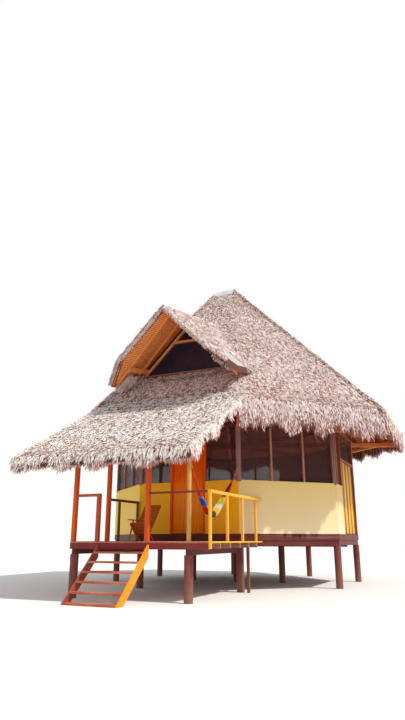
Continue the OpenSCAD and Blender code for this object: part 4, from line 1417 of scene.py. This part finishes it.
@dataclass
class EaveRods:
    """Palm rods under the roof's leaves, seen from below where the eaves and the porch roof stand out."""

    sizes: Sizes
    rods: Finish
    pitch: float = 0.085
    wide: float = 0.03
    thick: float = 0.008
    innermost: float = 2.7
    main_inset: float = 0.05
    porch_inset: float = 0.04

    def build(self) -> None:
        """Builds the rods under the eight sides and under the porch."""
        s = self.sizes
        boards = BoardMaker()
        for k in range(8):
            for depth in self.steps(self.innermost, s.eave_a - 0.1, s.slope(k)):
                half = depth * math.tan(HALF_TURN) - self.main_inset
                z = s.eave_z + s.slope(k) * (s.eave_a - depth)
                self.lay_rod(boards, s.ways(k), s.plane(k), (depth, -half, half), z)
        for depth in self.steps(s.eave_a + 0.05, s.porch_eave_y - 0.12, s.porch_slope):
            left = s.porch_edge(-1, depth) + self.porch_inset
            right = s.porch_edge(1, depth) - self.porch_inset
            z = s.eave_z - s.porch_slope * (depth - s.eave_a)
            self.lay_rod(boards, s.ways(0), s.porch_plane(), (depth, left, right), z)
        place_piece("roof_rods", boards, self.rods)

    def steps(self, depth: float, end: float, slope: float) -> Iterable[float]:
        """Level distances of the rods from the centre post."""
        while depth < end:
            yield depth
            depth += self.pitch / math.hypot(1, slope)

    def lay_rod(
        self, boards: BoardMaker, ways: tuple[Array, Array], plane: tuple[Array, Array],
        place: Point, z: float,
    ) -> None:
        """Adds one rod close under the thatch.

        Args:
            boards: Where it goes.
            ways: Level directions out of the roof side and along it.
            plane: Direction of fall and normal of the roof side.
            place: The rod's distance from the centre post, and its two ends along the side.
            z: Height of the roof's top face over it.
        """
        (out, side), (fall, normal), (depth, left, right) = ways, plane, place
        origin = out * depth + side * left - DOWN * (z - self.sizes.thatch_t)
        origin = origin - normal * (self.thick - 0.001)
        boards.turned(origin, side * (right - left), fall * self.wide, normal * self.thick)


# Hammock


@dataclass
class Hammock:
    """A striped cloth hammock gathered at both ends, which hangs from the pole to the house."""

    sizes: Sizes
    cloth: Finish
    rope: Finish
    cords: Finish
    front: Point = (1.323, -5.9901, 2.75)
    back: Point = (1.385, -3.3892, 2.86)
    sag: float = 1.085
    low: float = 0.41
    rope_r: float = 0.009
    cord_r: float = 0.0045
    bunch_r: float = 0.076
    cloth_from: float = 0.075
    cloth_to: float = 0.83
    folds: int = 7

    def line(self, t: Array) -> Array:
        """Points of the hammock's middle line, as the CAD source has them."""
        near = 1 - np.clip(1 - t / self.low, 0, None) ** 1.8
        far = 1 - np.clip((t - self.low) / (1 - self.low), 0, None) ** 1.3
        drop = np.where(t < self.low, near, far)
        a, b = np.array(self.front), np.array(self.back)
        return a + t[:, None] * (b - a) - np.array([0, 0, self.sag]) * drop[:, None]

    def size(self, t: Array) -> Array:
        """Half width of the cloth along the line, with the spread at both ends, where strings hold it."""
        swell = np.clip(np.sin(np.pi * (t - 0.06) / 0.82), 0, None) ** 0.8
        radius = self.rope_r + (self.bunch_r - self.rope_r) * swell
        end = np.clip(np.minimum(t - self.cloth_from, self.cloth_to - t) / 0.1, 0, 1)
        front = np.clip(1 - (t - self.cloth_from) / 0.22, 0, 1)
        back = np.clip(1 - (self.cloth_to - t) / 0.14, 0, 1)
        slim = 0.78 + 0.22 * np.clip((t - 0.15) / 0.2, 0, 1)
        return radius * (0.6 + 0.55 * end**0.7) * slim + (0.012 * front + 0.01 * back)

    def build(self) -> None:
        """Builds the cloth, its end strings and its two ropes."""
        rows, columns = 90, 14 * self.folds + 1
        t = np.linspace(self.cloth_from, self.cloth_to, rows)
        middle = self.line(t)
        points = self.folded(t, np.linspace(0, 1, columns), middle)
        grid = np.arange(rows * columns).reshape(rows, columns)
        parts = MeshParts()
        share = np.repeat((t - self.cloth_from) / (self.cloth_to - self.cloth_from), columns)
        across = np.tile(np.linspace(0, 1, columns), rows)
        parts.add(points.reshape(-1, 3), [quads(grid[:, :-1], grid[:, 1:])], along=share, across=across)
        cloth = place_piece("hammock_cloth", parts, self.cloth, ["hammock"])
        ropes = [
            self.strings("hammock_strings_front", 0.03, self.cloth_from, points[0, :: self.folds]),
            self.strings("hammock_strings_back", 0.925, self.cloth_to, points[-1, :: self.folds]),
            self.tie("hammock_rope_front", 0.0, 0.033),
            self.tie("hammock_rope_back", 0.922, 1.0),
        ]

    def folded(self, t: Array, u: Array, middle: Array) -> Array:
        """Grid of the cloth's points, in rows along its line, folded in zigzags and twisted.

        Args:
            t: Places along the line.
            u: Places across the cloth, 0 to 1.
            middle: Points of the line at t.

        Returns:
            Points by row and column.
        """
        forward = unit(np.gradient(middle, axis=0))
        level = unit(np.cross(forward, -DOWN))
        up = np.cross(level, forward)
        size, t, u = self.size(t)[:, None], t[:, None], u[None]
        around = (u - 0.5) * 2
        swing = 0.5 * np.sin(2.1 * t * np.pi + 1.0)
        phase = self.folds * np.pi * u * 2 + 1.4 * np.sin(5.0 * t + 3.0 * u)
        deep = np.sqrt(np.clip(1.02 - around**2, 0, None)) * (0.86 + 0.16 * np.sin(9 * t + 4 * u))
        x = size * (around * 0.92 + 0.16 * np.sin(phase * 0.5 + 2.0))
        y = size * deep * np.sin(phase)
        x, y = x * np.cos(swing) - y * np.sin(swing), x * np.sin(swing) + y * np.cos(swing)
        return middle[:, None] + level[:, None] * x[:, :, None] + up[:, None] * y[:, :, None]

    def tube(self, name: str, lines: Sequence[Array], radius: float, finish: Finish) -> bpy.types.Object:
        """Makes tubes along several lines as one piece."""
        parts = MeshParts()
        turn = np.linspace(0, 2 * np.pi, 8, endpoint=False)
        for line in lines:
            along = unit(np.gradient(line, axis=0))
            side = unit(np.cross(along, np.array([0.3, 0.9, 0.2])))
            other = np.cross(along, side)
            ring = (
                line[:, None]
                + side[:, None] * (radius * np.cos(turn))[None, :, None]
                + other[:, None] * (radius * np.sin(turn))[None, :, None]
            )
            grid = np.arange(len(line) * len(turn)).reshape(len(line), len(turn))
            caps = [np.concatenate([[grid[0, 0]], grid[0, :0:-1]])[None], grid[-1][None]]
            parts.add(ring.reshape(-1, 3), [quads(grid, np.roll(grid, -1, axis=1)), *caps])
        return place_piece(name, parts, finish)

    def strings(self, name: str, knot_t: float, cloth_t: float, ends: Array) -> bpy.types.Object:
        """Makes the strings that fan from the knot to the cloth's gathered end."""
        share = np.linspace(0, 1, 6)
        middle = self.line(knot_t + share * (cloth_t - knot_t))
        lines = [middle + (end - middle[-1]) * share[:, None] ** 1.3 for end in ends]
        return self.tube(name, lines, self.cord_r, self.cords)

    def tie(self, name: str, t0: float, t1: float) -> bpy.types.Object:
        """Makes the rope from a tie to the knot. The front one also has its turns round the pole."""
        lines = [self.line(np.linspace(t0, t1, 10))]
        if t0 == 0.0:
            s = self.sizes
            centre = np.array([s.pole_x, s.deck_y0 + s.rail_t + s.pole_r, self.front[2]])
            turn = np.linspace(-np.pi * 0.5, np.pi * 5.5, 66)
            x, y = 0.053 * np.cos(turn), 0.053 * np.sin(turn)
            lines.append(centre + np.column_stack([x, y, (turn - turn[0]) * 0.0027 - 0.02]))
        return self.tube(name, lines, self.rope_r, self.rope)


# Paint and other finishes of the CAD nodes


def painted(
    name: str, colour: Sequence[int], faded: Sequence[int], grain: Grain, **more: object
) -> PaintedWood:
    """Painted wood with its colours named in 0 to 255."""
    return PaintedWood(name + "_paint", srgb(*colour), srgb(*faded), grain, **more)


def bare(
    name: str, colour: Sequence[int], dark: Sequence[int], grey: Sequence[int], grain: Grain,
    weathered: float = 0.4, **more: object,
) -> BareWood:
    """Bare wood with its colours named in 0 to 255."""
    return BareWood(name + "_wood", srgb(*colour), srgb(*dark), srgb(*grey), grain, weathered, **more)


class Paints:
    """All finishes of the house."""

    maroon = painted("maroon", (120, 54, 50), (158, 100, 92), Grain.UPRIGHT, splash_z=0.7)
    maroon_level = painted("maroon_level", (96, 38, 34), (132, 80, 72), Grain.LEVEL, fading=0.35)
    deck = painted("deck", (178, 104, 84), (214, 168, 148), Grain.ALONG_Y, fading=0.6, wear=0.7)
    fascia = painted("fascia", (124, 42, 38), (150, 76, 66), Grain.LEVEL, fading=0.35)
    tread = painted("tread", (184, 92, 62), (214, 160, 138), Grain.ALONG_X, fading=0.7, wear=0.8)
    orange = painted("orange", (232, 90, 6), (238, 118, 36), Grain.UPRIGHT, fading=0.3, depth=0.2)
    post = painted("post", (212, 82, 10), (220, 108, 40), Grain.UPRIGHT, fading=0.35, depth=0.2)
    orange_level = painted("orange_level", (182, 72, 36), (198, 104, 66), Grain.LEVEL)
    door = painted(
        "door", (255, 146, 2), (255, 168, 20), Grain.UPRIGHT, fading=0.3, roughness=0.4,
        upper=srgb(252, 104, 0), depth=0.12,
    )
    side_door = painted(
        "side_door", (252, 186, 34), (254, 206, 96), Grain.UPRIGHT, fading=0.3,
        second=srgb(146, 70, 26), depth=0.15,
    )
    side_frame = painted("side_frame", (150, 70, 34), (176, 104, 62), Grain.UPRIGHT)
    yellow = painted("yellow", (250, 176, 42), (252, 206, 116), Grain.LEVEL, fading=0.3)
    stringer = painted("stringer", (250, 150, 24), (250, 184, 92), Grain.LEVEL, fading=0.3)
    stringer_left = painted("stringer_left", (150, 66, 44), (190, 120, 96), Grain.LEVEL)
    dark_red = painted("dark_red", (128, 44, 30), (164, 84, 62), Grain.LEVEL)
    # Painted shade: the yellow rail paint darkened, for the left side rail in the porch's shade.
    shaded_yellow = painted("shaded_yellow", (104, 66, 34), (136, 100, 62), Grain.LEVEL)
    stud = painted("stud", (176, 112, 92), (204, 160, 144), Grain.UPRIGHT)
    chair = painted("chair", (190, 98, 34), (206, 124, 60), Grain.LEVEL, fading=0.3, roughness=0.42)
    boards = painted("back_board", (112, 54, 46), (134, 76, 60), Grain.LEVEL)
    wall = PanelPaint("wall_cream")
    corner = CornerPostPaint("corner_paint")
    joist = bare("joist", (176, 122, 98), (120, 72, 56), (158, 140, 124), Grain.ALONG_X)
    floor = bare("floor", (170, 118, 78), (112, 68, 42), (158, 140, 124), Grain.ALONG_X)
    girder = bare("girder", (120, 66, 52), (78, 40, 32), (158, 140, 124), Grain.ALONG_Y)
    pole = bare("pole", (226, 170, 84), (168, 112, 56), (198, 158, 104), Grain.UPRIGHT)
    rafter = bare("rafter", (250, 168, 88), (214, 118, 52), (232, 178, 128), Grain.LEVEL, 0.25)
    gable = bare(
        "gable", (250, 168, 88), (214, 118, 52), (232, 178, 128), Grain.LEVEL, 0.25, sill=srgb(150, 112, 100)
    )
    outrigger = bare("outrigger", (236, 138, 62), (188, 88, 38), (210, 140, 90), Grain.LEVEL, 0.2)
    dark_rafter = bare("dark_rafter", (140, 74, 40), (92, 44, 24), (120, 84, 66), Grain.LEVEL, 0.2)
    rods = bare("rod", (255, 172, 88), (226, 120, 58), (236, 160, 116), Grain.LEVEL, 0.2)
    eave_rods = bare("eave_rod", (240, 124, 54), (184, 76, 38), (200, 112, 74), Grain.LEVEL, 0.2)
    leaves = LeafThatch(
        "palm_leaves", srgb(124, 60, 44), srgb(206, 156, 140), srgb(242, 218, 210), srgb(253, 246, 242)
    )
    porch_leaves = LeafThatch(
        "porch_palm_leaves", srgb(136, 74, 58), srgb(246, 213, 198), srgb(255, 242, 232), srgb(255, 254, 252)
    )
    thatch = ThatchBody("packed_leaves", srgb(160, 114, 100), srgb(206, 100, 56), srgb(134, 56, 36))
    net = Netting("window_net", srgb(68, 34, 32), 0.47)
    dormer_net = Netting("dormer_net", srgb(22, 12, 38), 0.66)
    cap = SheetMetal("ridge_sheet", srgb(198, 203, 206), srgb(158, 154, 150))
    flashing = SheetMetal("dormer_sheet", srgb(188, 180, 179), srgb(146, 134, 132))
    cloth = StripedCloth(
        "hammock_weave",
        (
            (0.0, srgb(255, 110, 30)), (0.07, srgb(255, 70, 20)), (0.145, srgb(240, 206, 190)),
            (0.165, srgb(50, 116, 244)), (0.24, srgb(255, 140, 70)), (0.265, srgb(255, 54, 20)),
            (0.35, srgb(18, 84, 76)), (0.45, srgb(255, 232, 40)), (0.55, srgb(255, 252, 236)),
            (0.63, srgb(220, 234, 60)), (0.68, srgb(255, 236, 30)), (0.76, srgb(96, 40, 20)),
            (0.86, srgb(216, 36, 20)),
        ),
    )
    rope = TwistedRope("hammock_rope", srgb(250, 176, 104), srgb(208, 120, 60))
    cords = TwistedRope("hammock_cords", srgb(255, 92, 30), srgb(214, 52, 20))


NODE_FINISHES: dict[str, tuple[Finish, float]] = {
    name: (finish, rounding)
    for finish, rounding, names in (
        (Paints.maroon, 0.0, "stilt_posts"),
        (Paints.maroon_level, 0.004, "rim_beams deck_girders"),
        (Paints.maroon_level, 0.003, "wall_plates"),
        (Paints.girder, 0.004, "floor_girder"),
        (Paints.girder, 0.003, "floor_joists"),
        (Paints.joist, 0.003, "deck_joists"),
        (Paints.fascia, 0.003, "deck_edge_boards"),
        (Paints.stringer_left, 0.004, "stair_stringer_left"),
        (Paints.stringer, 0.004, "stair_stringer_right"),
        (Paints.tread, 0.004, "stair_treads"),
        (Paints.corner, 0.003, "corner_posts"),
        (Paints.stud, 0.003, "wall_studs"),
        (Paints.wall, 0.0, "wall_panels"),
        (Paints.wall, 0.002, "sill_rails"),
        (Paints.net, 0.0, "mesh_screens"),
        (Paints.boards, 0.0, "back_boards"),
        (Paints.orange, 0.0, "front_door_frame front_door_transom"),
        (Paints.door, 0.0, "front_door"),
        (Paints.side_frame, 0.0, "side_door_frame"),
        (Paints.side_door, 0.0, "side_door_left side_door_right"),
        (Paints.outrigger, 0.004, "tie_beams"),
        (Paints.dark_rafter, 0.0, "king_post common_rafters"),
        (Paints.dark_rafter, 0.004, "ridge_beam"),
        (Paints.rafter, 0.0, "hip_rafters porch_rafters dormer_rafters"),
        (Paints.rafter, 0.004, "eave_purlins"),
        (Paints.rafter, 0.006, "porch_beam"),
        (Paints.cap, 0.0, "ridge_cap"),
        (Paints.post, 0.004, "porch_posts"),
        (Paints.pole, 0.0, "porch_pole"),
        (Paints.gable, 0.0, "dormer_frame"),
        (Paints.dormer_net, 0.0, "dormer_screen"),
        (Paints.flashing, 0.0, "dormer_flashing"),
        (Paints.orange_level, 0.004, "front_rail_left"),
        (Paints.dark_red, 0.004, "front_rail_right"),
        # The left side rail takes the yellow rail paint darkened as painted shade.
        (Paints.shaded_yellow, 0.004, "side_rail_left"),
        (Paints.yellow, 0.004, "side_rail_right"),
        (Paints.chair, 0.002, "porch_chair"),
    )
    for name in names.split()
}


def dress_nodes(nodes: dict[str, bpy.types.Object]) -> None:
    """Gives every CAD node that stays its finish, and rounds the edges of those that show them.

    Args:
        nodes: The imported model's nodes by name.
    """
    for name, node in nodes.items():
        finish, rounding = NODE_FINISHES.get(name, (Paints.thatch, 0.0))
        material = finish.material()
        for slot in node.material_slots:
            slot.material = material
        if not node.material_slots:
            node.data.materials.append(material)
        if rounding > 0:
            weld = node.modifiers.new("weld", "WELD")
            weld.merge_threshold = 0.00005
            round_edges(node, rounding)
        LOG.info("%s: %s", name, material.name)


# Camera, floor and light


@dataclass(frozen=True)
class Viewpoint:
    """The photographer's place, to the right of the porch and low down."""

    place: Point = (6.437, -16.78, 1.18)
    pitch: float = 17.45
    turn: float = 24.18
    lens: float = 28.53

    def build(self) -> None:
        """Makes the camera and makes it the scene's own."""
        data = bpy.data.cameras.new("camera")
        data.lens = self.lens
        data.sensor_width = 36.0
        data.clip_end = 200.0
        camera = bpy.data.objects.new("camera", data)
        camera.location = self.place
        camera.rotation_euler = (math.radians(90 + self.pitch), 0.0, math.radians(self.turn))
        bpy.context.scene.collection.objects.link(camera)
        bpy.context.scene.camera = camera


@dataclass(frozen=True)
class Studio:
    """A pale floor, a white surround and one key light from high on the right."""

    sun_azimuth: float = 85.0
    sun_height: float = 50.5
    sun_power: float = 3.2
    sun_angle: float = 1.0
    sun_colour: Point = (1.0, 0.965, 0.92)
    surround: float = 0.76
    sky: Colour = (0.93, 0.96, 1.0, 1.0)
    white: Colour = (1.0, 1.0, 1.0, 1.0)
    floor: Colour = (0.8, 0.79, 0.77, 1.0)
    floor_reach: float = 90.0
    floor_fade: Range = (12.0, 34.0)

    def build(self) -> None:
        """Makes the floor, the world and the light."""
        self.make_floor()
        self.make_world()
        data = bpy.data.lights.new("key", "SUN")
        data.energy = self.sun_power
        data.angle = math.radians(self.sun_angle)
        data.color = self.sun_colour
        light = bpy.data.objects.new("key", data)
        azimuth, height = math.radians(self.sun_azimuth), math.radians(self.sun_height)
        level = math.cos(height)
        towards = Vector((math.sin(azimuth) * level, -math.cos(azimuth) * level, math.sin(height)))
        light.rotation_euler = towards.to_track_quat("Z", "Y").to_euler()
        bpy.context.scene.collection.objects.link(light)

    def make_floor(self) -> None:
        """Makes the floor, which fades into the surround far from the house."""
        mesh = bpy.data.meshes.new("floor")
        r = self.floor_reach
        mesh.from_pydata([(-r, -r, 0), (r, -r, 0), (r, r, 0), (-r, r, 0)], [], [(0, 1, 2, 3)])
        floor = bpy.data.objects.new("floor", mesh)
        bpy.context.scene.collection.objects.link(floor)
        s = NodeSketch(bpy.data.materials.new("floor"))
        far = s.node("VectorMath", {"operation": "LENGTH"}, i0=s.place()).outputs["Value"]
        dull = s.node("BsdfDiffuse", Color=self.floor).outputs[0]
        bright = s.node("Emission", Color=self.white, Strength=1.0).outputs[0]
        mesh.materials.append(s.finish(s.blend(s.span(far, *self.floor_fade), dull, bright)))

    def make_world(self) -> None:
        """Makes the surround: plain white to the camera, softer as light."""
        world = bpy.data.worlds.new("surround")
        bpy.context.scene.world = world
        s = NodeSketch(world, "OutputWorld")
        light = s.node("Background", Color=self.sky, Strength=self.surround).outputs[0]
        seen = s.node("Background", Color=self.white, Strength=1.0).outputs[0]
        rays = s.node("LightPath").outputs
        shown = rays["Is Camera Ray"]
        for name in ("Is Glossy Ray", "Is Transmission Ray"):
            shown = s.math("MAXIMUM", shown, rays[name])
        s.finish(s.blend(shown, light, seen))


def main() -> None:
    """Loads the frame and builds the looks in order."""
    logging.basicConfig(level=logging.INFO, format="%(message)s")
    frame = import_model()
    Viewpoint().build()
    bpy.context.scene.view_settings.view_transform = "Standard"
    Hammock(SIZES, Paints.cloth, Paints.rope, Paints.cords).build()
    dress_nodes(frame["nodes"])
    MainRoof(SIZES, Paints.leaves).build()
    PorchRoof(SIZES, Paints.porch_leaves).build()
    Dormer(SIZES, Paints.leaves, Paints.rods).build()
    EaveRods(SIZES, Paints.eave_rods).build()
    Floors(SIZES, Paints.deck, Paints.floor).build()
    DoorSkins(SIZES, Paints.door, Paints.side_door).build()
    Studio().build()


if __name__ == "__main__":
    main()
